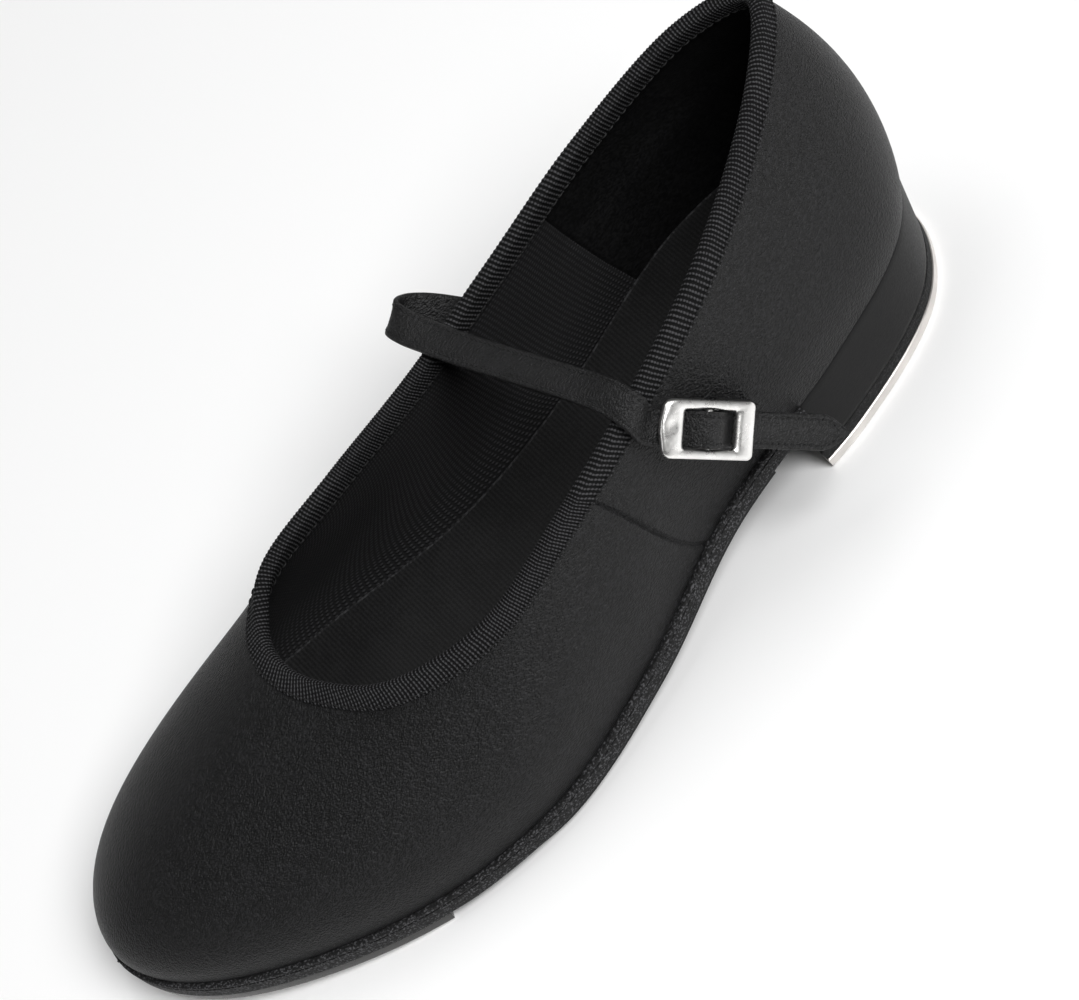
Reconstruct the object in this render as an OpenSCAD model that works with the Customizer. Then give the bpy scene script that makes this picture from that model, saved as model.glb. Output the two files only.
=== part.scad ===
// Left tap shoe: single-strap leather shoe on a low heel, with a metal tap
// screwed under the toe and another under the heel.
// Frame: +X toe, +Y outer (lateral) side, +Z up, the ground is z = 0 (mm).

/* [Upper] */
// Thickness of the outer leather
leather = 1.3; // [1:0.1:2]
// Thickness of the lining
lining = 0.8; // [0.5:0.1:1.5]
// Full thickness of the toe puff and the heel counter
stiff = 0.8; // [0.4:0.1:1.2]
// Thickness of the binding tape
tape = 0.6; // [0.4:0.1:1]
// Width of the binding seen on each face of the topline
tape_leg = 4.2; // [3:0.1:6]

/* [Sole] */
// Height of the lasting plane at the ball, above the ground
ball_z = 8.1; // [7:0.1:10]
// Drop of the lasting plane from the heel seat to the ball
seat_drop = 17.2; // [10:0.1:25]
// Upward slope of the lasting plane under the toes
toe_spring = 0.078; // [0.03:0.002:0.12]
// Thickness of the outsole strip
outsole_t = 5.1; // [3:0.1:6]
// How far the outsole stands out past the upper
welt = 1.3; // [0:0.1:3]
// Thickness of the patterned rubber pad
pad_t = 1.6; // [1:0.1:2.5]
// Thickness of both taps
tap_t = 3.0; // [2:0.1:4]
// Thickness of the heel's top lift
lift_t = 3.0; // [2:0.1:4]
// Thickness of the bottom filler
filler_t = 1.5; // [1:0.1:2]
// Thickness of the insole board
board_t = 2.0; // [1.5:0.1:3]
// Thickness of the sock lining
sock_t = 1.2; // [0.8:0.1:2]

/* [Strap and buckle] */
// Strap width
strap_w = 7.6; // [6:0.1:12]
// Strap thickness
strap_t = 1.4; // [1:0.1:2.5]
// Buckle frame length along the strap
frame_l = 20.5; // [18:0.5:26]
// Buckle frame width across the strap
frame_w = 12.2; // [11:0.1:18]
// Buckle frame thickness
frame_t = 2.2; // [1.5:0.1:3]
// Radius of the buckle's centre bar
bar_r = 0.85; // [0.7:0.05:1.2]

/* [Screws] */
// Radius of a tap screw's head
head_r = 4.0; // [3:0.1:5]
// Radius of a tap screw's shank
screw_r = 1.9; // [1.5:0.05:2.5]
// Radial clearance of every bored hole
bore_gap = 0.05; // [0.02:0.01:0.1]

/* [Hidden] */

// Feather line, where the upper meets the sole: 16 stations from the toe tip
// round the outer side, the heel and the inner side.
FEATHER = [[246.7, -9.8], [232.6, 14.3], [197.4, 35.6], [158, 44.9], [119.2, 40.4],
  [85.1, 32.4], [45.7, 30.6], [14.4, 20.6], [1.3, -1.2], [13, -21.9], [45, -28.9],
  [85.1, -25.8], [120.1, -28.7], [160.5, -38.9], [200.7, -42.2], [236, -32.6]];
// Topline of the opening at the same 16 stations.
TOPLINE = [[173.5, -8.8, 45.2], [170, 6.1, 45.9], [158.4, 23.7, 48.2], [135.6, 35, 51.9],
  [108.7, 35.8, 58.5], [80.5, 32.6, 64.2], [49.5, 26.2, 71.7], [19, 13.9, 81],
  [3.8, -0.4, 86.1], [18.7, -14.6, 81.9], [49.1, -23.1, 72.1], [80.4, -24.2, 64.6],
  [108.7, -24.6, 58.6], [135.9, -27, 53.2], [159.3, -28.1, 48.6], [170, -21, 45.4]];
// Fullness of the wall at each station: outward and upward handle at the
// feather line, outward and downward handle at the topline.
FULL = [[3.7, 16.5, 33, 6.7], [3.8, 16.2, 23.7, 7.3], [4, 16, 13, 11], [4, 15, 6, 14],
  [3, 14, 3.6, 15], [2, 12, 3, 15], [2.6, 12, 4, 14], [5, 16, 6, 18], [7, 20, 6, 19],
  [5, 16, 6, 18], [2.5, 12, 3, 14], [2, 12, 2, 15.6], [3, 13.4, 0.8, 17.4],
  [4, 14, 1.2, 18.2], [4, 15.2, 6.8, 16.6], [4.1, 16.6, 18.7, 11.6]];
ST = len(FEATHER);      // stations round the shoe
PER = 4;                // grid lines per station
N = ST * PER;           // grid lines round the shoe
M = 7;                  // grid cells from the feather line to the binding
SEAM = 18;              // grid line of the outer side seam
LSEAM = 21;             // grid line of the lining's side seam
SLANT = 0.33;           // stations the side seams lean by
ARCH0 = 28;             // x where the arch starts
ARCH1 = 156;            // x where the arch ends
SPRING = 180.7;           // x where the toe spring starts
HOME = [122.71, 1.55];  // plan middle of the shoe, put over the origin
HEEL_X = 57;            // front of the heel seat
BREAST_X = 61;          // corners of the heel breast at the ground
BREAST_R = 70;          // plan radius of the hollow heel breast
TOE_A = atan(toe_spring);
WALL = leather + lining + stiff;
TOE_SCREWS = [[196, 25], [198, -30], [235, -10]];
HEEL_SCREWS = [[48, 20], [48, -18], [14, 0]];
NAILS = [[22, 12], [22, -12], [42, 13], [42, -13]];
RIVETS = [36, 120];
$fn = 48;

// ---- curves -------------------------------------------------------------
function unit(v) = v / norm(v);
function spline(a, b, c, d, t) = 0.5 * (2 * b + (c - a) * t
  + (2 * a - 5 * b + 4 * c - d) * t * t + (3 * b - a - 3 * c + d) * t * t * t);
// Point of a closed list of stations at station number u.
function around(L, u) = let (n = len(L), k = floor(u), t = u - k, m = (k % n + n) % n)
  spline(L[(m + n - 1) % n], L[m], L[(m + 1) % n], L[(m + 2) % n], t);
// Point of an open list at place u.
function along(L, u) = let (n = len(L) - 1, k = min(floor(u), n - 1), t = u - k)
  spline(k > 0 ? L[k - 1] : 2 * L[0] - L[1], L[k], L[k + 1],
    k + 2 <= n ? L[k + 2] : 2 * L[n] - L[n - 1], t);
// Lasting plane: height of the feather line at x.
function last_z(x) = let (t = min(1, max(0, (x - ARCH0) / (ARCH1 - ARCH0))))
  ball_z + seat_drop * (1 + cos(180 * t)) / 2 + 0.035 * max(0, ARCH0 - x)
  + toe_spring * max(0, x - SPRING);
function feather_out(u) = let (d = unit(around(FEATHER, u + 0.02) - around(FEATHER, u - 0.02)))
  [d[1], -d[0]];
// Point of the last's wall: t runs from the feather line (0) to the topline (1).
function wall(u, t) = let (f = around(FEATHER, u), o = feather_out(u), g = around(FULL, u),
    p3 = around(TOPLINE, u), p0 = [f[0], f[1], last_z(f[0])],
    p1 = p0 + [o[0] * g[0], o[1] * g[0], g[1]],
    p2 = p3 + [o[0] * g[2], o[1] * g[2], -g[3]], s = 1 - t)
  s * s * s * p0 + 3 * s * s * t * p1 + 3 * s * t * t * p2 + t * t * t * p3;
function wall_up(u, t) = unit(wall(u, t + 0.01) - wall(u, t - 0.01));
function wall_out(u, t) = unit(cross(wall(u + 0.03, t) - wall(u - 0.03, t),
  wall(u, t + 0.01) - wall(u, t - 0.01)));
// Grid over the wall: line i round the shoe, level j from feather to topline.
function hat(i, c) = max(0, 1 - abs(i - c) / 6);
function tape_at(u) = let (g = around(FULL, u)) 1 - tape_leg / 3 / norm([g[2], g[3]]);
function grid_t(i, j) = j > M ? 1 : tape_at(i / PER) * j / M;
function grid_u(i, j) = let (t = grid_t(i, j))
  i / PER + SLANT * (1 - 2 * t) * (hat(i, SEAM) - hat(i, N - SEAM));
function skin(i, j, d) = let (u = grid_u(i, j), t = grid_t(i, j))
  j == 0 ? let (f = around(FEATHER, u) - feather_out(u) * d) [f[0], f[1], last_z(f[0]) + 0.05]
  : wall(u, t) - wall_out(u, t) * d;

// ---- stiffeners: thickness at each grid point ---------------------------
PUFF_I = 10; PUFF_J = 4; COUNTER_I = 11; COUNTER_J = 5;
function toe_dist(i) = min((i + N) % N, (N - i % N) % N);
function heel_dist(i) = abs(i - N / 2);
function pad_h(di, j, ni, nj) = di > ni || j > nj ? 0 : (di == ni || j == nj) ? 0.35 : stiff;
function stiff_h(i, j) = max(pad_h(toe_dist(i), j, PUFF_I, PUFF_J),
  pad_h(heel_dist(i), j, COUNTER_I, COUNTER_J));

// ---- solids -------------------------------------------------------------
// Layer of the wall between grid lines i0..i1 and levels 0..j1.
// kind: 0 outer leather, 1 stiffener, 2 lining.
function depth(kind, side, i, j) = kind == 0 ? side * leather
  : kind == 1 ? leather + side * stiff_h(i, j) : leather + stiff_h(i, j) + side * lining;
module layer(i0, i1, j1, kind) {
  w = i1 - i0 + 1; h = j1 + 1; s = w * h;
  pts = [for (side = [0, 1], j = [0:j1], i = [i0:i1])
    skin((i + N) % N, j, depth(kind, side, (i + N) % N, j))];
  outer = [for (j = [0:j1 - 1], i = [0:w - 2], k = [0, 1]) let (a = j * w + i)
    k == 0 ? [a, a + w + 1, a + 1] : [a, a + w, a + w + 1]];
  inner = [for (f = outer) [f[0] + s, f[2] + s, f[1] + s]];
  rim = concat([for (i = [0:w - 1]) i], [for (j = [1:h - 1]) j * w + w - 1],
    [for (i = [w - 2:-1:0]) (h - 1) * w + i], [for (j = [h - 2:-1:1]) j * w]);
  walls = [for (k = [0:len(rim) - 1], q = [0, 1]) let (a = rim[k], b = rim[(k + 1) % len(rim)])
    q == 0 ? [a, b, b + s] : [a, b + s, a + s]];
  polyhedron(pts, concat(outer, inner, walls));
}
// Closed ring swept through n cross-sections of c points each. The strip after point
// turned is split along its other diagonal.
module ring(sections, turned) {
  n = len(sections); c = len(sections[0]);
  polyhedron([for (s = sections, p = s) p],
    [for (i = [0:n - 1], k = [0:c - 1], q = [0, 1]) let (a = i * c + k, b = i * c + (k + 1) % c,
      e = ((i + 1) % n) * c + k, f = ((i + 1) % n) * c + (k + 1) % c)
      k == turned ? (q == 0 ? [a, b, e] : [b, f, e]) : (q == 0 ? [a, b, f] : [a, f, e])]);
}
// Open sweep through cross-sections, with flat ends.
module sweep(sections) {
  n = len(sections); c = len(sections[0]);
  polyhedron([for (s = sections, p = s) p],
    concat([[for (k = [c - 1:-1:0]) k]], [[for (k = [0:c - 1]) (n - 1) * c + k]],
    [for (i = [0:n - 2], k = [0:c - 1], q = [0, 1]) let (a = i * c + k, b = i * c + (k + 1) % c,
      e = a + c, f = b + c) q == 0 ? [a, b, f] : [a, f, e]]));
}
// Section of a flat band at p: tangent d, width along w, thickness along d x w.
function band(p, d, w, wide, thick) = let (t = unit(d), v = unit(w - t * (w * t)), n = cross(t, v))
  [p - v * wide / 2 - n * thick / 2, p - v * wide / 2 + n * thick / 2,
   p + v * wide / 2 + n * thick / 2, p + v * wide / 2 - n * thick / 2];
// Plan outline of the feather line moved inward.
function outline(inset) = [for (i = [0:N - 1]) around(FEATHER, i / PER) - feather_out(i / PER) * inset];
// Slab that follows the lasting plane between x0 and x1, from dz0 to dz1 above it.
module slab(x0, x1, dz0, dz1) {
  n = max(2, ceil((x1 - x0) / 3));
  xs = [for (k = [0:n]) x0 + (x1 - x0) * k / n];
  rotate([90, 0, 0]) linear_extrude(height = 120, center = true) polygon(concat(
    [for (x = xs) [x, last_z(x) + dz0]], [for (k = [n:-1:0]) [xs[k], last_z(xs[k]) + dz1]]));
}
module sole_layer(x0, x1, dz0, dz1, inset) {
  intersection() {
    translate([0, 0, -5]) linear_extrude(height = 60) polygon(outline(inset));
    slab(x0, x1, dz0, dz1);
  }
}
// Loft through plan outlines of the same length, one at each height in zs.
module loft(plans, zs) {
  n = len(plans[0]); m = len(plans);
  polyhedron([for (i = [0:m - 1], p = plans[i]) [p[0], p[1], zs[i]]],
    concat([[for (k = [0:n - 1]) k]], [[for (k = [n - 1:-1:0]) (m - 1) * n + k]],
    [for (i = [0:m - 2], k = [0:n - 1], q = [0, 1]) let (a = i * n + k, b = i * n + (k + 1) % n)
      q == 0 ? [a, b + n, b] : [a, a + n, b + n]]));
}
module toe_frame() { translate([SPRING, 0, 0]) rotate([0, -TOE_A, 0]) children(); }
module breast_cut() {
  translate([BREAST_X + sqrt(BREAST_R * BREAST_R - 900), 0, -1])
    cylinder(r = BREAST_R, h = 60, $fn = 96);
}
// Closed loop moved inward by d.
function inward(L, d) = [for (k = [0:len(L) - 1]) let (n = len(L),
  t = unit(L[(k + 1) % n] - L[(k + n - 1) % n])) L[k] + [-t[1], t[0]] * d];
// Plan of the toe tap: the toe outline closed by a rear edge that bulges back.
function toe_plan() = let (a = 2.28, e = 0.3 - welt,
    L = [for (k = [-11:11]) let (u = (k * a / 11 + ST) % ST) around(FEATHER, u) - feather_out(u) * e],
    p = L[22], q = L[0])
  concat(L, [for (k = [1:7]) let (s = k / 8) p + (q - p) * s + [-8.5 * 4 * s * (1 - s), 0]]);
// Outline of the heel's foot: the seat's outline, a little smaller and further forward.
function heel_base(u, e) = around(FEATHER, u) - feather_out(u) * e + [2.8, 0];
// Plan of the heel tap: the heel outline closed by the hollow breast.
function heel_plan(e) = let (
    L = [for (k = [0:24]) let (u = 5.76 + k * 4.52 / 24) heel_base(u, e)],
    p = [BREAST_X - 1, L[0][1]], q = [BREAST_X - 1, L[24][1]],
    R = BREAST_R, c = BREAST_X + sqrt(R * R - 900))
  concat([p], L, [q], [for (k = [1:9]) let (y = q[1] + (p[1] - q[1]) * k / 10)
    [min(BREAST_X - 1, c - sqrt(R * R - y * y)), y]]);

// ---- strap geometry -----------------------------------------------------
BUCKLE_C = [75.6, 41.7, 51.3];
BUCKLE_D = unit([-0.61, 0.22, -0.76]);               // along the strap, to the tail
BUCKLE_V = unit(cross(cross(BUCKLE_D, [0.77, 0.39, -0.51]), BUCKLE_D));   // across the strap
BUCKLE_N = cross(BUCKLE_V, BUCKLE_D);                // out of the buckle's face
BAR_W = -0.5;                                        // bar's depth in the frame
UNDER = -(frame_t / 2 + 0.8 + strap_t / 2);          // strap's middle under the frame
OVER = BAR_W + bar_r + 0.1 + 0.6 + 0.35 + strap_t / 2;   // strap's middle over the bar
HINGE = [91, -32.2, 53];                             // axis of the strap's root, along X
function in_buckle(u, v, w) = BUCKLE_C + BUCKLE_D * u + BUCKLE_V * v + BUCKLE_N * w;
function hump(u) = abs(u) > 7 ? UNDER : UNDER + (OVER - UNDER) * (1 + cos(180 * u / 7)) / 2;
// Middle line of the strap from its hinge to where it meets the buckle.
LOOP = [HINGE, [95, -35.2, 57.2], [99.2, -37.2, 61], [102, -35.4, 63.6], [101.8, -30.5, 64],
  [100, -24.2, 63.2], [96.9, -13, 63.2], [91.8, 4, 64.2], [86.7, 21.5, 66.4], [84.5, 30.6, 67.6],
  [83.7, 36.2, 65.4], in_buckle(-12.8, 0, UNDER - 0.1), in_buckle(-9.5, 0, UNDER)];
LOOP_N = 48;
function strap_mid(k) = k <= LOOP_N ? along(LOOP, (len(LOOP) - 1) * k / LOOP_N)
  : in_buckle(-9.5 + (k - LOOP_N), 0, hump(-9.5 + (k - LOOP_N)));
STRAP_K = LOOP_N + 43;
BEND = unit([0.95, 0.29, -0.55]);                    // the hinge axis, across the strap
// Root end of the strap: it lies on the inner wall, then lifts off towards the hinge.
function root_on(u, t, lift) = wall(u, t) + wall_out(u, t) * (strap_t / 2 + lift);
ROOT = [root_on(10.93, 0.44, 0.2), root_on(11, 0.495, 0.4), root_on(11.07, 0.55, 1.1),
  [88, -29.4, 46.6], [90.1, -31.3, 51.2]];
// Tab that ties the buckle's bar to the outer quarter, behind the strap's tail.
TAB_W = 5.6; TAB_T = 1.0; FASTEN_T = 0.8; FASTEN_GAP = 0.3;
function low(s) = [5.33 + 0.14 * s, 0.56 - 0.2 * s];
function low_p(s, lift) = wall(low(s)[0], low(s)[1]) + wall_out(low(s)[0], low(s)[1]) * lift;
TAB_LIFT = 2 * FASTEN_T + FASTEN_GAP + TAB_T / 2 + 0.1;
TAB = [in_buckle(0.6, 0, BAR_W - bar_r - 0.6), in_buckle(3.5, 0, BAR_W - 4.2),
  in_buckle(7.5, 0, BAR_W - 6), low_p(0, TAB_LIFT), low_p(0.5, TAB_LIFT), low_p(1, TAB_LIFT)];
function tab_side(s) = let (d = low_p(s + 0.1, 0) - low_p(s - 0.1, 0))
  unit(cross(d, wall_out(low(s)[0], low(s)[1])));
// Patch lying on the outer wall along the tab's end, from lift a to lift a + t.
module patch(a, t) {
  sweep([for (k = [0:4]) let (s = k / 4, d = low_p(s + 0.1, 0) - low_p(s - 0.1, 0))
    band(low_p(s, a + t / 2), d, tab_side(s), TAB_W - 0.6, t)]);
}
function strap_dir(k) = strap_mid(min(k + 0.5, STRAP_K)) - strap_mid(max(k - 0.5, 0));
function strap_side(k) = let (s = min(1, max(0, (k - 30) / 12)), r = min(1, max(0, (18 - k) / 8)))
  unit([0.95, 0.29, -0.55 * r] * (1 - s) + BUCKLE_V * s);
function tail_w(k) = let (e = STRAP_K - k) strap_w * (e > 6 ? 1 : sin(90 * (0.22 + 0.78 * e / 6)));

// ---- nodes --------------------------------------------------------------
module home() { translate([-HOME[0], -HOME[1], 0]) children(); }
module vamp() { color("#2b2b2d") home() layer(-SEAM, SEAM, M + 1, 0); }
module quarter_lateral() { color("#303033") home() layer(SEAM, N / 2, M + 1, 0); }
module quarter_medial() { color("#303033") home() layer(N / 2, N - SEAM, M + 1, 0); }
module toe_puff() { color("#8d7a5c") home() layer(-PUFF_I, PUFF_I, PUFF_J, 1); }
module heel_counter() {
  color("#8d7a5c") home() layer(N / 2 - COUNTER_I, N / 2 + COUNTER_I, COUNTER_J, 1);
}
module vamp_lining() { color("#1c1c1e") home() layer(-LSEAM, LSEAM, M + 1, 2); }
module quarter_lining() { color("#252527") home() layer(LSEAM, N - LSEAM, M + 1, 2); }
module topline_binding() {
  color("#1a1a1b") home() ring([for (i = [0:N - 1]) let (u = grid_u(i, M + 1), ub = grid_u(i, M),
      up = wall_up(u, 1) * tape, b = leather + lining)
    [skin(i, M, -tape), skin(i, M + 1, -tape) + up * 0.6, skin(i, M + 1, b / 2) + up * 1.6,
     skin(i, M + 1, b + tape) + up * 0.6, skin(i, M, b + tape), skin(i, M, b),
     skin(i, M + 1, b), skin(i, M + 1, 0), skin(i, M, 0)]], 7);
}
module nail_bores(r) {
  for (p = NAILS) translate([p[0], p[1], 8]) cylinder(r = r, h = 60);
}
module rivet_bores(r) {
  for (x = RIVETS) translate([x, 0, last_z(x) - 0.5]) cylinder(r = r, h = 20);
}
module sock_lining() { color("#3a3a3d") home() sole_layer(-5, 245, filler_t + board_t,
  filler_t + board_t + sock_t, WALL + 0.5); }
module insole_board() {
  color("#9a7a52") home() difference() {
    sole_layer(-5, 246, filler_t, filler_t + board_t, WALL + 0.3);
    nail_bores(0.9 + bore_gap);
    for (p = NAILS) translate([p[0], p[1], last_z(p[0]) + filler_t + board_t - 1.15])
      cylinder(r = 2.2 + bore_gap, h = 5);
    rivet_bores(1.5 + bore_gap);
  }
}
module shank_plan(grow) {
  translate([20 + 5.5, 0]) circle(r = 5.5 + grow);
  translate([138 - 5.5, 0]) circle(r = 5.5 + grow);
  translate([25.5, -5.5 - grow]) square([107, 11 + 2 * grow]);
}
module bottom_filler() {
  color("#a88a5e") home() difference() {
    sole_layer(-5, 246, 0.05, filler_t, WALL + 0.3);
    linear_extrude(height = 60) shank_plan(0.2);
    nail_bores(0.9 + bore_gap);
  }
}
module shank() {
  color("#9aa0a6") home() difference() {
    intersection() {
      linear_extrude(height = 60) shank_plan(0);
      slab(15, 145, 0.1, filler_t - 0.1);
    }
    rivet_bores(1.5 + bore_gap);
  }
}
module shank_rivets() {
  color("#b9bdc2") home() for (x = RIVETS) translate([x, 0, last_z(x) + 0.3])
    cylinder(r = 1.5, h = filler_t + board_t - 0.5);
}
module outsole() {
  color("#262628") home() difference() {
    sole_layer(HEEL_X, 252, -outsole_t, 0, -welt);
    toe_frame() for (p = TOE_SCREWS) translate([p[0] - SPRING, p[1], 0])
      cylinder(r = screw_r + bore_gap, h = tap_t + 3.6);
  }
}
module rubber_pad() {
  color("#1d1d1f") home() difference() {
    sole_layer(70, 187, -outsole_t - pad_t, -outsole_t, 0.5 - welt);
    translate([185 - 6.2, 0, -5]) linear_extrude(height = 60)
      polygon(concat([[20, -60], [20, 60], [1.5, 60]],
        [for (k = [0:12]) let (y = 42 - 84 * k / 12) [1.5 - 8.5 * (1 - y * y / 1764), y]],
        [[1.5, -60]]));
    for (x = [78:8:170]) translate([x, -60, last_z(x + 0.6) - outsole_t - pad_t - 0.6])
      cube([1.2, 120, 1.2]);
  }
}
module heel_screw_bores() {
  for (p = HEEL_SCREWS) translate([p[0], p[1], -1]) cylinder(r = screw_r + bore_gap, h = 17.4);
}
module heel_block() {
  n = 18;
  color("#232325") home() difference() {
    intersection() {
      loft([[for (i = [0:N - 1]) heel_base(i / PER, 0.8)], outline(0)], [tap_t + lift_t, 28]);
      rotate([90, 0, 0]) linear_extrude(height = 120, center = true) polygon(concat(
        [[-10, tap_t + lift_t], [BREAST_X, tap_t + lift_t], [BREAST_X + 2, 12],
         [BREAST_X + 5, last_z(BREAST_X + 5) - outsole_t],
         [HEEL_X, last_z(HEEL_X) - outsole_t]],
        [for (k = [0:n]) let (x = HEEL_X - (HEEL_X + 10) * k / n) [x, last_z(x)]]));
    }
    breast_cut();
    heel_screw_bores();
    nail_bores(0.9 + bore_gap);
  }
}
module heel_top_lift() {
  color("#1b1b1c") home() difference() {
    translate([0, 0, tap_t]) linear_extrude(height = lift_t) polygon(heel_plan(0.8));
    heel_screw_bores();
  }
}
module heel_nails() {
  color("#b08d57") home() for (p = NAILS) {
    z1 = last_z(p[0]) + filler_t + board_t;
    translate([p[0], p[1], 12]) cylinder(r = 0.9, h = z1 - 12.7);
    translate([p[0], p[1], z1 - 1.1]) cylinder(r = 2.2, h = 0.85);
  }
}
// Screw holes of a tap, with a recess for each head in the ground face.
module tap_bores(holes) {
  for (p = holes) translate([p[0], p[1], -1]) {
    cylinder(r = screw_r + 0.3, h = 9);
    cylinder(r = head_r + 0.6, h = 2.7);
  }
}
module toe_tap() {
  plan = [for (p = toe_plan()) [(p[0] - SPRING) / cos(TOE_A), p[1]]];
  color("#c9cacc") home() toe_frame() difference() {
    loft([inward(plan, 0.9), plan, plan], [0, 0.7, tap_t * cos(TOE_A)]);
    tap_bores([for (p = TOE_SCREWS) [p[0] - SPRING, p[1]]]);
  }
}
module heel_tap() {
  color("#c9cacc") home() difference() {
    linear_extrude(height = tap_t) polygon(heel_plan(1.0));
    tap_bores(HEEL_SCREWS);
  }
}
// Pan-head screw pointing up, its head's face at z = 0.
module tap_screw(len) {
  difference() {
    union() {
      cylinder(r = head_r - 0.5, h = 0.5);
      translate([0, 0, 0.5]) cylinder(r = head_r, h = 0.8);
      cylinder(r = screw_r, h = len);
    }
    for (a = [0, 90]) rotate([0, 0, a + 20]) translate([-2.3, -0.5, -0.1]) cube([4.6, 1.0, 0.9]);
  }
}
module toe_tap_screws() {
  color("#aeb2b6") home() toe_frame() for (p = TOE_SCREWS)
    translate([p[0] - SPRING, p[1], 0.35]) tap_screw(tap_t + 2.8);
}
module heel_tap_screws() {
  color("#aeb2b6") home() for (p = HEEL_SCREWS) translate([p[0], p[1], 0.35]) tap_screw(15.4);
}
module strap_root() {
  // Root end sewn flat on the inner quarter, up to just below the hinge.
  n = 12;
  flat = cross(ROOT[1] - ROOT[0], wall_out(10.93, 0.44));
  color("#2a2a2c") home() sweep([for (k = [0:n]) let (x = 4 * k / n, s = min(1, x / 3),
      d = along(ROOT, min(4, x + 0.1)) - along(ROOT, max(0, x - 0.1)))
    band(along(ROOT, x), d, unit(flat) * (1 - s) + BEND * s, strap_w, strap_t)]);
}
module strap() {
  color("#2a2a2c") home() {
    sweep([for (k = [0:STRAP_K]) band(strap_mid(k), strap_dir(k), strap_side(k),
      tail_w(k), strap_t)]);
  }
}
module place_buckle() {
  multmatrix([[BUCKLE_D[0], BUCKLE_V[0], -BUCKLE_N[0], BUCKLE_C[0]],
    [BUCKLE_D[1], BUCKLE_V[1], -BUCKLE_N[1], BUCKLE_C[1]],
    [BUCKLE_D[2], BUCKLE_V[2], -BUCKLE_N[2], BUCKLE_C[2]], [0, 0, 0, 1]])
    mirror([0, 0, 1]) children();
}
module buckle_frame() {
  L = frame_l / 2; W = frame_w / 2;
  color("#d4d2cc") home() place_buckle() difference() {
    translate([0, 0, -frame_t / 2]) linear_extrude(height = frame_t) difference() {
      polygon([[-L, -W + 1.5], [-L + 1.5, -W], [L - 1, -W], [L, -W + 1], [L, W - 1],
        [L - 1, W], [-L + 1.5, W], [-L, W - 1.5], [-L - 0.8, 0]]);
      translate([-L + 3.9, -W + 1.8]) square([frame_l - 7.3, frame_w - 3.6]);
    }
    translate([0, 0, BAR_W]) rotate([90, 0, 0]) cylinder(r = bar_r, h = frame_w - 1, center = true);
  }
}
module buckle_bar() {
  color("#c4c2bc") home() place_buckle() translate([0, 0, BAR_W]) rotate([90, 0, 0])
    cylinder(r = bar_r, h = frame_w - 1.2, center = true);
}
module buckle_tab() {
  n = 20; h = bar_r + 0.1;
  color("#262628") home() {
    place_buckle() translate([0, 0, BAR_W]) rotate([90, 0, 0]) difference() {
      cylinder(r = h + 0.6, h = TAB_W, center = true);
      cylinder(r = h, h = TAB_W + 2, center = true);
    }
    sweep([for (k = [0:n]) let (x = 5 * k / n, a = along(TAB, max(0, x - 0.1)),
        b = along(TAB, min(5, x + 0.1)), m = min(1, max(0, (x - 1) / 2)))
      band(along(TAB, x), b - a, BUCKLE_V * (1 - m) + tab_side(max(0, (x - 3) / 2)) * m,
        TAB_W, TAB_T)]);
  }
}
module hook_pad() { color("#141415") home() patch(FASTEN_T + FASTEN_GAP + 0.1, FASTEN_T); }
module loop_pad() { color("#202022") home() patch(0.1, FASTEN_T); }

vamp();
quarter_lateral();
quarter_medial();
topline_binding();
toe_puff();
heel_counter();
vamp_lining();
quarter_lining();
sock_lining();
insole_board();
bottom_filler();
shank();
shank_rivets();
outsole();
rubber_pad();
heel_block();
heel_top_lift();
heel_nails();
toe_tap();
toe_tap_screws();
heel_tap();
heel_tap_screws();
strap_root();
strap();
buckle_frame();
buckle_bar();
buckle_tab();
hook_pad();
loop_pad();
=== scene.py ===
"""Looks of the left tap shoe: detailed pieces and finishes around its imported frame."""
import logging
import math
from dataclasses import dataclass, field
from enum import Enum
from typing import Callable, Iterable, Sequence

import bmesh
import bpy
import numpy as np
from mathutils import Matrix, Vector


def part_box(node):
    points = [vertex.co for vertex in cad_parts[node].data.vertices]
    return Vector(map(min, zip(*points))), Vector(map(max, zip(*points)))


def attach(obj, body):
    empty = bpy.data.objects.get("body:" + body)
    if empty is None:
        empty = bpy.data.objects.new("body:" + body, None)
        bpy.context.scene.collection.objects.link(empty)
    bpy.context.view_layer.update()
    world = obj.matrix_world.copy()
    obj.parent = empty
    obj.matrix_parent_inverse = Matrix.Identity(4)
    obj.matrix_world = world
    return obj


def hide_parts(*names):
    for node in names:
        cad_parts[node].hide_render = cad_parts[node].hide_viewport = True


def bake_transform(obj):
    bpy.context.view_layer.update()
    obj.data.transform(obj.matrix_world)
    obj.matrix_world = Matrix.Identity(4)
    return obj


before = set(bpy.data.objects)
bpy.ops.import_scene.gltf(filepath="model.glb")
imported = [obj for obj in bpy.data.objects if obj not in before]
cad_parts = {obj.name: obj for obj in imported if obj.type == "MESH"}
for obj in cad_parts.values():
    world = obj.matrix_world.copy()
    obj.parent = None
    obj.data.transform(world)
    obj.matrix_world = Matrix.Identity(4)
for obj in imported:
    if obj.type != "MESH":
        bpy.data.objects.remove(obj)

Array = np.ndarray
LOG = logging.getLogger("tap_shoe")
MM = 0.001
HOME = np.array([122.71, 1.55, 0.0])   # the frame's origin in the shoe's working plan
ROOT, STRAP, BUCKLE = "root", "strap", "buckle"
STATIONS = 16            # stations once round the last
BACK = 8                 # station at the back of the heel
STATION_MM = 38          # usual distance between two stations
HALF_TREAD = 42          # half the width of the tread at the ball
RIB_MM = 0.95            # pitch of the binding's ribs
RIB_SLANT = 0.22         # how far the ribs lean for each millimetre across the tape


# ---- small geometry helpers, in millimetres ------------------------------------------

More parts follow.
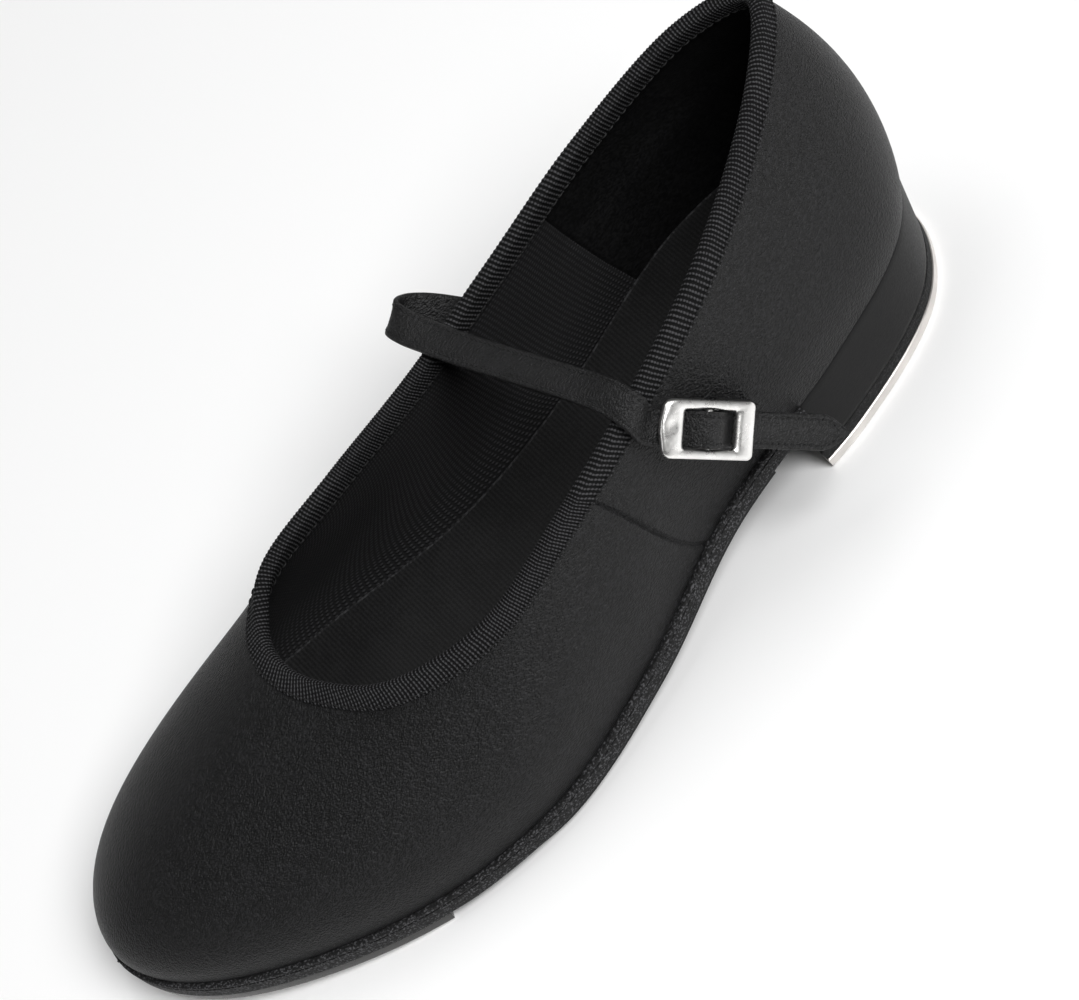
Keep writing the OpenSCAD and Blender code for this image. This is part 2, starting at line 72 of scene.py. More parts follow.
def unit(v: Array) -> Array:
    """Returns v, or each row of v, at length 1."""
    v = np.asarray(v, float)
    return v / np.maximum(np.linalg.norm(v, axis=-1, keepdims=True), 1e-12)


def smooth(x: Array, low: float, high: float) -> Array:
    """Returns a soft step of x from 0 at low to 1 at high."""
    t = np.clip((np.asarray(x, float) - low) / (high - low), 0, 1)
    return t * t * (3 - 2 * t)


def bell(x: Array, middle: float, width: float) -> Array:
    """Returns a soft bump of height 1 at middle."""
    return np.exp(-(((np.asarray(x, float) - middle) / width) ** 2))


def run_length(points: Array) -> Array:
    """Returns the distance along an open path at each of its points."""
    steps = np.linalg.norm(np.diff(points, axis=0), axis=1)
    return np.concatenate([[0], np.cumsum(steps)])


def even(points: Array, step: float) -> Array:
    """Resamples an open path at even steps.

    Args:
        points: The path's points.
        step: Wanted distance between points.

    Returns:
        The resampled path, which keeps both ends.
    """
    s = run_length(points)
    n = max(2, int(round(s[-1] / step)) + 1)
    at = np.linspace(0, s[-1], n)
    return np.stack([np.interp(at, s, points[:, k]) for k in range(points.shape[1])], 1)


def tangents(points: Array, closed: bool = False) -> Array:
    """Returns unit tangents along a path, closed or open."""
    if closed:
        return unit(np.roll(points, -1, 0) - np.roll(points, 1, 0))
    return unit(np.gradient(points, axis=0))


def spline_open(points: Sequence[Sequence[float]], per: int) -> Array:
    """Draws a smooth open curve through points.

    Args:
        points: Points that the curve passes.
        per: Steps between two of them.

    Returns:
        The curve's points, with both ends.
    """
    p = np.array(points, float)
    p = np.vstack([2 * p[0] - p[1], p, 2 * p[-1] - p[-2]])
    out = []
    for k in range(1, len(p) - 2):
        t = np.linspace(0, 1, per, endpoint=False)[:, None]
        a, b, c, d = p[k - 1], p[k], p[k + 1], p[k + 2]
        out.append(0.5 * (2 * b + (c - a) * t + (2 * a - 5 * b + 4 * c - d) * t ** 2
                          + (3 * b - a - 3 * c + d) * t ** 3))
    return np.vstack(out + [p[-2:-1]])


def inset(plan: Array, d: float) -> Array:
    """Moves a closed plan inward, with mitred corners.

    Args:
        plan: The plan, anticlockwise.
        d: How far each edge moves.

    Returns:
        The smaller plan.
    """
    e = unit(np.roll(plan, -1, 0) - plan)
    n_next = np.stack([-e[:, 1], e[:, 0]], 1)
    n_prev = np.roll(n_next, 1, 0)
    both = unit(n_next + n_prev)
    stretch = np.clip(1 / np.maximum((both * n_next).sum(1), 0.4), 1, 1.6)
    return plan + both * (d * stretch)[:, None]


@dataclass
class Lattice:
    """Rows and columns of points that become a skin of quads.

    Args:
        points: Places in mm, as rows, columns, 3.
        ring_rows: The last row joins the first.
        ring_cols: The last column joins the first.
        ladder: Both open ends of a tube are closed across its loop.
        along: Place of each row in mm for patterns, one more than rows if ring_rows.
        across: Place of each column in mm, one more than columns if ring_cols.
    """

    points: Array
    ring_rows: bool = False
    ring_cols: bool = False
    ladder: bool = False
    along: Array | None = None
    across: Array | None = None

    def _measure(self, axis: int, ring: bool) -> Array:
        """Measures the lattice along one of its axes.

        Args:
            axis: 0 along the columns of rows, 1 across them.
            ring: The last line joins the first.

        Returns:
            Mean distance of each line from the first.
        """
        p = self.points if axis == 0 else self.points.swapaxes(0, 1)
        p = np.concatenate([p, p[:1]]) if ring else p
        steps = np.linalg.norm(np.diff(p, axis=0), axis=2).mean(1)
        return np.concatenate([[0], np.cumsum(steps)])

    def build(self) -> tuple[Array, list, list]:
        """Returns points, faces, and a place in mm for each corner of each face."""
        rows, cols = self.points.shape[:2]
        along = self._measure(0, self.ring_rows) if self.along is None else self.along
        across = self._measure(1, self.ring_cols) if self.across is None else self.across
        faces, places = [], []
        for i in range(rows if self.ring_rows else rows - 1):
            i2 = (i + 1) % rows
            for j in range(cols if self.ring_cols else cols - 1):
                j2 = (j + 1) % cols
                faces.append((i * cols + j, i * cols + j2, i2 * cols + j2, i2 * cols + j))
                places.append(((along[i], across[j]), (along[i], across[j + 1]),
                               (along[i + 1], across[j + 1]), (along[i + 1], across[j])))
        if self.ladder:
            for row in (0, rows - 1):
                for k in range(cols // 2 - 1):
                    loop = (k, k + 1, cols - 2 - k, cols - 1 - k)
                    faces.append(tuple(row * cols + c for c in loop))
                    places.append(tuple((along[row], across[c]) for c in loop))
        return self.points.reshape(-1, 3), faces, places


def join(parts: Iterable[tuple[Array, list, list]]) -> tuple[Array, list, list]:
    """Puts several shapes together without welding them.

    Args:
        parts: Points, faces and corner places of each shape.

    Returns:
        Points, faces and corner places of all of them.
    """
    points, faces, places, base = [], [], [], 0
    for p, f, q in parts:
        points.append(p)
        faces += [tuple(i + base for i in face) for face in f]
        places += q
        base += len(p)
    return np.vstack(points), faces, places


def stacked(plans: Sequence[Array], heights: Sequence[Array | float]) -> tuple[Array, list, list]:
    """Lofts closed plans of equal length and closes both ends with a flat face.

    Args:
        plans: Plans from the lowest up.
        heights: Height of each plan, one number or one per point.

    Returns:
        Points, faces and corner places.
    """
    rows = [np.column_stack([p, np.broadcast_to(z, len(p))]) for p, z in zip(plans, heights)]
    points = np.stack(rows, 1)
    p, faces, places = Lattice(points, ring_rows=True).build()
    cols = len(plans)
    for end in (0, cols - 1):
        faces.append(tuple(i * cols + end for i in range(len(points))))
        places.append(tuple((float(x), float(y)) for x, y in points[:, end, :2]))
    return p, faces, places


def turned(profile: Sequence[tuple[float, float]], sides: int) -> tuple[Array, list, list]:
    """Turns a closed profile of radius and height about the z axis.

    Args:
        profile: Points from the axis at one end to the axis at the other.
        sides: Number of steps round the axis.

    Returns:
        Points, faces and corner places.
    """
    ring = profile[1:-1]
    a = np.arange(sides) * 2 * math.pi / sides
    pts = np.array([[(r * math.cos(t), r * math.sin(t), z) for r, z in ring] for t in a])
    p, faces, places = Lattice(pts, ring_rows=True).build()
    n, c = len(p), len(ring)
    p = np.vstack([p, [(0, 0, profile[0][1]), (0, 0, profile[-1][1])]])
    for i in range(sides):
        j = (i + 1) % sides
        for tip, col in ((n, 0), (n + 1, c - 1)):
            faces.append((tip, i * c + col, j * c + col))
            places.append(((0, 0), (float(i), 1), (float(i + 1), 1)))
    return p, faces, places


# ---- the last and the sole's planes ---------------------------------------------------

@dataclass
class Last:
    """Surface of the shoe's last, as the frame's parts have it.

    u is the station, from the toe tip round the outer side, the heel and the inner side;
    t runs from the feather line (0) to the topline (1).
    """

    feather: Array = field(default_factory=lambda: np.array([
        [246.7, -9.8], [232.6, 14.3], [197.4, 35.6], [158, 44.9], [119.2, 40.4],
        [85.1, 32.4], [45.7, 30.6], [14.4, 20.6], [1.3, -1.2], [13, -21.9], [45, -28.9],
        [85.1, -25.8], [120.1, -28.7], [160.5, -38.9], [200.7, -42.2], [236, -32.6]]))
    topline: Array = field(default_factory=lambda: np.array([
        [173.5, -8.8, 45.2], [170, 6.1, 45.9], [158.4, 23.7, 48.2], [135.6, 35, 51.9],
        [108.7, 35.8, 58.5], [80.5, 32.6, 64.2], [49.5, 26.2, 71.7], [19, 13.9, 81],
        [3.8, -0.4, 86.1], [18.7, -14.6, 81.9], [49.1, -23.1, 72.1], [80.4, -24.2, 64.6],
        [108.7, -24.6, 58.6], [135.9, -27, 53.2], [159.3, -28.1, 48.6], [170, -21, 45.4]]))
    fullness: Array = field(default_factory=lambda: np.array([
        [3.7, 16.5, 33, 6.7], [3.8, 16.2, 23.7, 7.3], [4, 16, 13, 11], [4, 15, 6, 14],
        [3, 14, 3.6, 15], [2, 12, 3, 15], [2.6, 12, 4, 14], [5, 16, 6, 18], [7, 20, 6, 19],
        [5, 16, 6, 18], [2.5, 12, 3, 14], [2, 12, 2, 15.6], [3, 13.4, 0.8, 17.4],
        [4, 14, 1.2, 18.2], [4, 15.2, 6.8, 16.6], [4.1, 16.6, 18.7, 11.6]]))
    ball_z: float = 8.1
    seat_drop: float = 17.2
    arch: tuple[float, float] = (28.0, 156.0)
    spring_x: float = 180.7
    spring: float = 0.078
    tape_leg: float = 4.2
    side_seam: float = 4.5
    lean: float = 0.33

    def around(self, table: Array, u: Array) -> Array:
        """Reads a table of the last as a smooth closed curve.

        Args:
            table: One row for each whole station.
            u: Stations to read at.

        Returns:
            The interpolated rows.
        """
        u = np.asarray(u, float)
        k = np.floor(u).astype(int)
        t = (u - k)[..., None]
        a, b, c, d = (table[(k + j) % len(table)] for j in (-1, 0, 1, 2))
        return 0.5 * (2 * b + (c - a) * t + (2 * a - 5 * b + 4 * c - d) * t ** 2
                      + (3 * b - a - 3 * c + d) * t ** 3)

    def plane_z(self, x: Array) -> Array:
        """Finds the lasting plane, with its heel seat, arch and toe spring.

        Args:
            x: Places along the shoe.

        Returns:
            Heights of the plane there.
        """
        x = np.asarray(x, float)
        t = np.clip((x - self.arch[0]) / (self.arch[1] - self.arch[0]), 0, 1)
        return (self.ball_z + self.seat_drop * (1 + np.cos(math.pi * t)) / 2
                + 0.035 * np.maximum(0, self.arch[0] - x)
                + self.spring * np.maximum(0, x - self.spring_x))

    def outward(self, u: Array) -> Array:
        """Returns the plan direction out of the feather line."""
        d = unit(self.around(self.feather, u + 0.02) - self.around(self.feather, u - 0.02))
        return np.stack([d[..., 1], -d[..., 0]], -1)

    def outline(self, u: Array, out: float) -> Array:
        """Returns the feather line in plan, moved outward."""
        return self.around(self.feather, u) + self.outward(u) * out

    def wall(self, u: Array, t: Array) -> Array:
        """Finds points of the last's wall.

        Args:
            u: Stations.
            t: Levels, from the feather line to the topline.

        Returns:
            The points.
        """
        u, t = np.broadcast_arrays(np.asarray(u, float), np.asarray(t, float))
        f, o = self.around(self.feather, u), self.outward(u)
        g, p3 = self.around(self.fullness, u), self.around(self.topline, u)
        up = np.array([0.0, 0.0, 1.0])
        o3 = np.concatenate([o, np.zeros_like(o[..., :1])], -1)
        p0 = np.concatenate([f, self.plane_z(f[..., 0])[..., None]], -1)
        p1 = p0 + o3 * g[..., :1] + up * g[..., 1:2]
        p2 = p3 + o3 * g[..., 2:3] - up * g[..., 3:4]
        t = t[..., None]
        s = 1 - t
        return s ** 3 * p0 + 3 * s * s * t * p1 + 3 * s * t * t * p2 + t ** 3 * p3

    def up(self, u: Array, t: Array) -> Array:
        """Returns the direction up the wall."""
        return unit(self.wall(u, t + 0.01) - self.wall(u, t - 0.01))

    def out(self, u: Array, t: Array) -> Array:
        """Returns the direction out of the wall."""
        d = self.wall(u + 0.03, t) - self.wall(u - 0.03, t)
        return unit(np.cross(d, self.wall(u, t + 0.01) - self.wall(u, t - 0.01)))

    def tape_t(self, u: Array) -> Array:
        """Returns the level where the binding's legs end."""
        g = self.around(self.fullness, u)
        return 1 - self.tape_leg / 3 / np.linalg.norm(g[..., 2:4], axis=-1)

    def slanted(self, a: Array, t: Array) -> Array:
        """Returns the station of grid line a at level t, which leans near the side seams."""
        def near(seam: float) -> Array:
            """Returns 1 on a side seam, falling to 0 away from it."""
            apart = np.abs(np.mod(a - seam + BACK, STATIONS) - BACK)
            return np.maximum(0, 1 - apart * 4 / 6)
        return a + self.lean * (1 - 2 * t) * (
            near(self.side_seam) - near(STATIONS - self.side_seam))

    def skin(self, a: Array, t: Array, depth: Array) -> Array:
        """Finds points at a depth under the wall, on the leaning grid.

        Args:
            a: Grid lines, in stations.
            t: Levels.
            depth: Depth under the wall, less than 0 outside it.

        Returns:
            The points; those at level 0 stand on the lasting plane.
        """
        u = self.slanted(a, t)
        p = self.wall(u, t) - self.out(u, t) * np.asarray(depth, float)[..., None]
        foot = np.broadcast_to(np.asarray(t) <= 0, p.shape[:-1])
        f = self.around(self.feather, u) - self.outward(u) * np.asarray(depth, float)[..., None]
        low = np.concatenate([f, (self.plane_z(f[..., 0]) + 0.05)[..., None]], -1)
        return np.where(foot[..., None], low, p)

    def sides(self, xs: Array) -> tuple[Array, Array, Array, Array]:
        """Finds the feather line on both sides at given x.

        Args:
            xs: Places along the shoe, from the toe back.

        Returns:
            Outer points, outer normals, inner points and inner normals, in plan.
        """
        u = np.linspace(-2, 18, 6001)
        p, n = self.around(self.feather, u), self.outward(u)
        tip = np.argmax(np.where(np.abs(u) < 1.5, p[:, 0], -1e9))
        back = np.argmin(p[:, 0])
        tip2 = np.argmax(np.where(np.abs(u - 16) < 1.5, p[:, 0], -1e9))
        sets = []
        for part in (slice(tip, back + 1), slice(back, tip2 + 1)):
            q, m = p[part], n[part]
            order = np.argsort(q[:, 0])
            pick = [np.interp(xs, q[order, 0], v[order, k]) for v in (q, m) for k in (0, 1)]
            sets += [np.stack([xs, pick[1]], 1), unit(np.stack(pick[2:], 1))]
        return sets[0], sets[1], sets[2], sets[3]


LAST = Last()


# ---- shader writing -------------------------------------------------------------------

@dataclass(frozen=True)
class Wire:
    """A socket's value, with the arithmetic that the finishes use."""

    graph: "Graph"
    socket: bpy.types.NodeSocket

    def _math(self, operation: str, a: "Wire | float", b: "Wire | float") -> "Wire":
        """Returns the result of one Math node."""
        return self.graph.node("ShaderNodeMath", {"operation": operation}, {0: a, 1: b})

    def __add__(self, other: "Wire | float") -> "Wire":
        """Adds."""
        return self._math("ADD", self, other)

    __radd__ = __add__

    def __sub__(self, other: "Wire | float") -> "Wire":
        """Subtracts other from this."""
        return self._math("SUBTRACT", self, other)

    def __rsub__(self, other: "Wire | float") -> "Wire":
        """Subtracts this from other."""
        return self._math("SUBTRACT", other, self)

    def __mul__(self, other: "Wire | float") -> "Wire":
        """Multiplies."""
        return self._math("MULTIPLY", self, other)

    __rmul__ = __mul__

    def __pow__(self, power: float) -> "Wire":
        """Raises to a power."""
        return self._math("POWER", self, power)

    def step(self, low: float, high: float) -> "Wire":
        """Returns a soft step from 0 at low to 1 at high."""
        return self.graph.node("ShaderNodeMapRange", {"interpolation_type": "SMOOTHSTEP"},
                               {"Value": self, "From Min": low, "From Max": high})


class Graph:
    """Writes the node tree of one finish."""

    def __init__(self, name: str) -> None:
        """Starts an empty material.

        Args:
            name: The material's name.
        """
        self.material = bpy.data.materials.new(name)
        self.material.use_nodes = True
        self.tree = self.material.node_tree
        self.tree.nodes.clear()

    def node(self, kind: str, settings: dict | None = None, inputs: dict | None = None,
             out: str | int = 0) -> Wire:
        """Adds a node.

        Args:
            kind: The node's type.
            settings: Its settings, set first; "stops" fills a colour ramp.
            inputs: Values or wires of its sockets, by name or number.
            out: The output to hand back.

        Returns:
            The chosen output.
        """
        made = self.tree.nodes.new(kind)
        for key, value in (settings or {}).items():
            if key == "stops":
                ramp = made.color_ramp.elements
                while len(ramp) < len(value):
                    ramp.new(0.5)
                for stop, (place, colour) in zip(ramp, value):
                    stop.position, stop.color = place, (*colour, 1)
            else:
                setattr(made, key, value)
        for key, value in (inputs or {}).items():
            if isinstance(value, Wire):
                self.tree.links.new(value.socket, made.inputs[key])
            else:
                made.inputs[key].default_value = value
        return Wire(self, made.outputs[out])

    def spot(self) -> Wire:
        """Returns the place on the piece in its own frame, in metres."""
        return self.node("ShaderNodeTexCoord", out="Object")

    def lay(self) -> tuple[Wire, Wire, Wire]:
        """Returns the pattern place in millimetres: as a vector, along and across."""
        uv = self.node("ShaderNodeUVMap", {"uv_map": "Lay"})
        parts = self.node("ShaderNodeSeparateXYZ", inputs={0: uv})
        across = Wire(self, parts.socket.node.outputs[1])
        return uv, parts, across

    def noise(self, at: Wire, scale: float, detail: float = 2.0, rough: float = 0.5) -> Wire:
        """Returns plain noise around 0.5."""
        return self.node("ShaderNodeTexNoise", {}, {
            "Vector": at, "Scale": scale, "Detail": detail, "Roughness": rough})

    def cells(self, at: Wire, scale: float, feature: str = "F1", random: float = 1.0) -> Wire:
        """Returns the distance in a pattern of cells."""
        return self.node("ShaderNodeTexVoronoi", {"feature": feature}, {
            "Vector": at, "Scale": scale, "Randomness": random}, "Distance")

    def stretch(self, at: Wire, by: Sequence[float]) -> Wire:
        """Returns the vector times by."""
        return self.node("ShaderNodeVectorMath", {"operation": "MULTIPLY"}, {0: at, 1: by})

    def mix(self, factor: Wire, a: Sequence[float] | Wire, b: Sequence[float] | Wire) -> Wire:
        """Returns colour a turned into b by factor."""
        def full(c: Sequence[float] | Wire) -> Sequence[float] | Wire:
            """Returns the colour with its fourth value, or the wire."""
            return c if isinstance(c, Wire) else (*c, 1)
        return self.node("ShaderNodeMix", {"data_type": "RGBA"},
                         {0: factor, 6: full(a), 7: full(b)}, 2)

    def bump(self, height: Wire, distance: float, strength: float = 1.0) -> Wire:
        """Roughens the normal by a height.

        Args:
            height: The relief, around 0 to 1.
            distance: What a height of 1 measures, in metres.
            strength: Share of the relief that shows.

        Returns:
            The normal.
        """
        return self.node("ShaderNodeBump", {}, {
            "Height": height, "Distance": distance, "Strength": strength})

    def finish(self, **sockets: "Wire | float | Sequence[float]") -> bpy.types.Material:
        """Closes the tree with a Principled shader whose sockets are given by name."""
        named = {key.replace("_", " ").title().replace("Ior", "IOR"): value
                 for key, value in sockets.items()}
        shader = self.node("ShaderNodeBsdfPrincipled", {}, named)
        self.node_output(shader)
        return self.material

    def node_output(self, shader: Wire) -> None:
        """Links the shader to the material's output."""
        out = self.tree.nodes.new("ShaderNodeOutputMaterial")
        self.tree.links.new(shader.socket, out.inputs["Surface"])


# ---- finishes -------------------------------------------------------------------------

@dataclass(frozen=True)
class Leather:
    """Fine-grained dyed leather with a soft sheen, and painted shade and glints on its grain."""

    name: str
    colour: tuple[float, float, float] = (0.0042, 0.0042, 0.0045)
    rough: float = 0.41
    grain_mm: float = 0.5
    grain_high: float = 0.5
    crease: float = 0.3
    # fleck sets how much paler the painted glints on the grain's ridges are.
    ridge_glint: float = 3.0
    gloss: float = 0.23

    def build(self) -> bpy.types.Material:
        """Returns the material."""
        g = Graph(self.name)
        at = g.spot()
        pebble = g.cells(g.stretch(at, (0.8, 1.5, 1.2)), 1000 / self.grain_mm)
        wrinkle = g.noise(g.stretch(at, (0.6, 1.5, 1.0)), 700 / self.grain_mm, 3, 0.6)
        folds = g.noise(g.stretch(at, (1.0, 0.35, 0.6)), 210, 4, 0.55)
        worn = g.noise(at, 70, 4, 0.6)
        height = pebble * 0.5 + wrinkle * 0.9 + folds * self.crease
        # Painted light: grain valleys get a painted shade and ridge tops pale painted glints, standing
        # in for the grain's own shading.
        dark = tuple(c * 0.5 for c in self.colour)
        pale = tuple(c * self.ridge_glint for c in self.colour)
        ridge = wrinkle * 0.8 + pebble * 0.4
        colour = g.mix(ridge.step(0.44, 0.6), dark, self.colour)
        colour = g.mix((ridge + (worn - 0.5) * 0.2).step(0.58, 0.76), colour, pale)
        rough = self.rough + (worn - 0.5) * 0.14 + (ridge - 0.5) * 0.3
        return g.finish(base_color=colour, roughness=rough, specular_ior_level=self.gloss,
                        normal=g.bump(height, self.grain_high * MM, 1.0))


@dataclass(frozen=True)
class Tape:
    """Ribbed tape: ribs across it, with the weave between them; the rib crests carry a painted
    highlight.
    """

    name: str
    colour: tuple[float, float, float] = (0.002, 0.002, 0.0022)
    # crest is the painted highlight colour of the raised ribs.
    crest: tuple[float, float, float] = (0.062, 0.062, 0.065)
    rib_mm: float = RIB_MM
    slant: float = RIB_SLANT
    knot_mm: float = 0.9

    def build(self) -> bpy.types.Material:
        """Returns the material."""
        g = Graph(self.name)
        _, along, across = g.lay()
        at = g.spot()
        turn = (along + across * self.slant) * (2 * math.pi / self.rib_mm)
        rib = g.node("ShaderNodeMath", {"operation": "SINE"}, {0: turn}) * 0.5 + 0.5
        cross = (across - along * 0.35) * (2 * math.pi / self.knot_mm)
        knot = g.node("ShaderNodeMath", {"operation": "SINE"}, {0: cross}) * 0.5 + 0.5
        fuzz = g.noise(at, 2400, 3, 0.65)
        worn = g.noise(at, 120, 3)
        weave = rib * 0.55 + rib * knot * 0.5 + (fuzz - 0.5) * 1.0 + (worn - 0.5) * 0.3
        # Painted highlight: raised ribs and knots take the pale crest colour, standing in for light
        # falling on the black tape.
        colour = g.mix(weave.step(0.3, 0.95), self.colour, self.crest)
        return g.finish(base_color=colour, roughness=0.8 + (worn - 0.5) * 0.2,
                        specular_ior_level=0.15, normal=g.bump(weave, 0.0003, 0.8))


@dataclass(frozen=True)
class MeshCloth:
    """Knitted spacer cloth: an even net of small holes."""

    name: str
    colour: tuple[float, float, float] = (0.009, 0.009, 0.0095)
    pitch_mm: float = 1.25
    contrast: float = 3.0

    def build(self) -> bpy.types.Material:
        """Returns the material."""
        g = Graph(self.name)
        uv, _, _ = g.lay()
        net = g.cells(g.stretch(uv, (1.0, 1.15, 0)), 1 / self.pitch_mm, "F1", 0.12)
        knots = net.step(0.16, 0.42)
        fuzz = g.noise(g.spot(), 2800, 3, 0.6)
        worn = g.noise(g.spot(), 60, 3)
        colour = g.mix((1 - knots) * (0.5 + worn), self.colour,
                       tuple(c * self.contrast for c in self.colour))
        return g.finish(base_color=colour, roughness=0.82 + (fuzz - 0.5) * 0.2,
                        specular_ior_level=0.2,
                        normal=g.bump((1 - knots) + fuzz * 0.3, 0.0003, 0.9))


@dataclass(frozen=True)
class SockCloth:
    """Sock lining: smooth at the heel, finely ribbed ahead, with a pale cut edge."""

    name: str
    colour: tuple[float, float, float] = (0.009, 0.009, 0.0093)
    edge: tuple[float, float, float] = (0.05, 0.05, 0.052)
    rib_mm: float = 1.0
    edge_mm: float = 0.75

    def build(self) -> bpy.types.Material:
        """Returns the material."""
        g = Graph(self.name)
        _, along, across = g.lay()
        at = g.spot()
        ribs = g.node("ShaderNodeMath", {"operation": "SINE"},
                      {0: along * (2 * math.pi / self.rib_mm)})
        fuzz = g.noise(at, 2400, 3, 0.6)
        worn = g.noise(at, 55, 4, 0.6)
        rim = 1 - across.step(self.edge_mm * 0.5, self.edge_mm)
        dots = g.noise(at, 900, 1).step(0.46, 0.6)
        weave = (fuzz * 0.7 + ribs * 0.07 + (worn - 0.5) * 0.3).step(0.25, 0.5)
        colour = g.mix(weave, tuple(c * 0.5 for c in self.colour),
                       tuple(c * 1.6 for c in self.colour))
        colour = g.mix(rim * (0.25 + dots * 0.75), colour, self.edge)
        return g.finish(base_color=colour, roughness=0.62 + (worn - 0.5) * 0.25,
                        specular_ior_level=0.3,
                        normal=g.bump(ribs * 0.12 + fuzz * 0.6, 0.0003, 0.8))


@dataclass(frozen=True)
class Rubber:
    """Black moulded rubber with a granular skin."""

    name: str
    colour: tuple[float, float, float] = (0.0075, 0.0075, 0.008)
    rough: float = 0.66
    grit: float = 1.0
    sparkle: float = 2.4

    def build(self) -> bpy.types.Material:
        """Returns the material."""
        g = Graph(self.name)
        at = g.spot()
        grit = g.cells(at, 1700)
        dust = g.noise(at, 2000, 3, 0.6)
        worn = g.noise(at, 80, 3)
        speck = dust * 0.9 + worn * 0.1 + (0.5 - grit) * 0.3
        colour = g.mix(speck.step(0.5, 0.66), self.colour,
                       tuple(c * self.sparkle for c in self.colour))
        return g.finish(base_color=colour, roughness=self.rough + (worn - 0.5) * 0.2,
                        specular_ior_level=0.25,
                        normal=g.bump(grit * 0.6 + dust, 0.0002 * self.grit, 0.8))


@dataclass(frozen=True)
class Metal:
    """Bare or plated metal with fine marks from polishing and use."""

    name: str
    colour: tuple[float, float, float] = (0.82, 0.81, 0.79)
    rough: float = 0.24
    marks: float = 0.3
    brushed: tuple[float, float, float] = (1.0, 1.0, 1.0)
    dents: float = 0.2
    # side_shade darkens faces turned sideways as painted shade.
    side_shade: float = 1.0

    def build(self) -> bpy.types.Material:
        """Returns the material."""
        g = Graph(self.name)
        at = g.spot()
        lines = g.noise(g.stretch(at, self.brushed), 900, 3, 0.6)
        blots = g.noise(at, 130, 4, 0.6)
        pits = g.noise(at, 420, 2)
        tint = g.mix(blots.step(0.35, 0.75), self.colour, tuple(c * 0.86 for c in self.colour))
        # Painted shade: faces turned sideways take a much darker colour, standing in for the dark
        # reflection on a tap's side.
        if self.side_shade < 1:
            facing = g.node("ShaderNodeSeparateXYZ", {}, {
                0: g.node("ShaderNodeTexCoord", out="Normal")}, "Z")
            flat = (facing * facing).step(0.35, 0.7)
            tint = g.mix(flat, tuple(c * self.side_shade for c in self.colour), tint)
        rough = self.rough + (lines - 0.5) * self.marks + (blots - 0.5) * self.marks * 0.6
        return g.finish(base_color=tint, metallic=1.0, roughness=rough,
                        normal=g.bump(lines * 0.35 + pits * self.dents, 0.00006, 0.5))


@dataclass(frozen=True)
class Fibre:
    """Plain hidden board, filler or stiffener with a short fibre grain."""

    name: str
    colour: tuple[float, float, float] = (0.42, 0.3, 0.17)

    def build(self) -> bpy.types.Material:
        """Returns the material."""
        g = Graph(self.name)
        at = g.spot()
        grain = g.noise(g.stretch(at, (0.3, 1, 1)), 600, 4, 0.6)
        blots = g.noise(at, 60, 3)
        colour = g.mix(grain * 0.6 + blots * 0.4, tuple(c * 0.7 for c in self.colour),
                       tuple(min(1, c * 1.25) for c in self.colour))
        return g.finish(base_color=colour, roughness=0.75 + (grain - 0.5) * 0.2,
                        specular_ior_level=0.3, normal=g.bump(grain, 0.0002, 0.6))


@dataclass(frozen=True)
class Thread:
    """Twisted sewing thread."""

    name: str
    colour: tuple[float, float, float] = (0.006, 0.006, 0.0063)

    def build(self) -> bpy.types.Material:
        """Returns the material."""
        g = Graph(self.name)
        twist = g.node("ShaderNodeTexWave", {"bands_direction": "DIAGONAL"},
                       {"Vector": g.spot(), "Scale": 700, "Distortion": 1.0}, "Fac")
        colour = g.mix(twist, tuple(c * 0.6 for c in self.colour), self.colour)
        return g.finish(base_color=colour, roughness=0.6 + twist * 0.15,
                        specular_ior_level=0.35, normal=g.bump(twist, 0.00006, 0.6))


@dataclass(frozen=True)
class Ground:
    """Plain pale floor."""

    name: str = "pale_floor"
    colour: tuple[float, float, float] = (0.93, 0.93, 0.93)

    def build(self) -> bpy.types.Material:
        """Returns the material."""
        g = Graph(self.name)
        soft = g.noise(g.spot(), 3, 2)
        colour = g.mix(soft, self.colour, tuple(c * 0.985 for c in self.colour))
        return g.finish(base_color=colour, roughness=0.7, specular_ior_level=0.2)


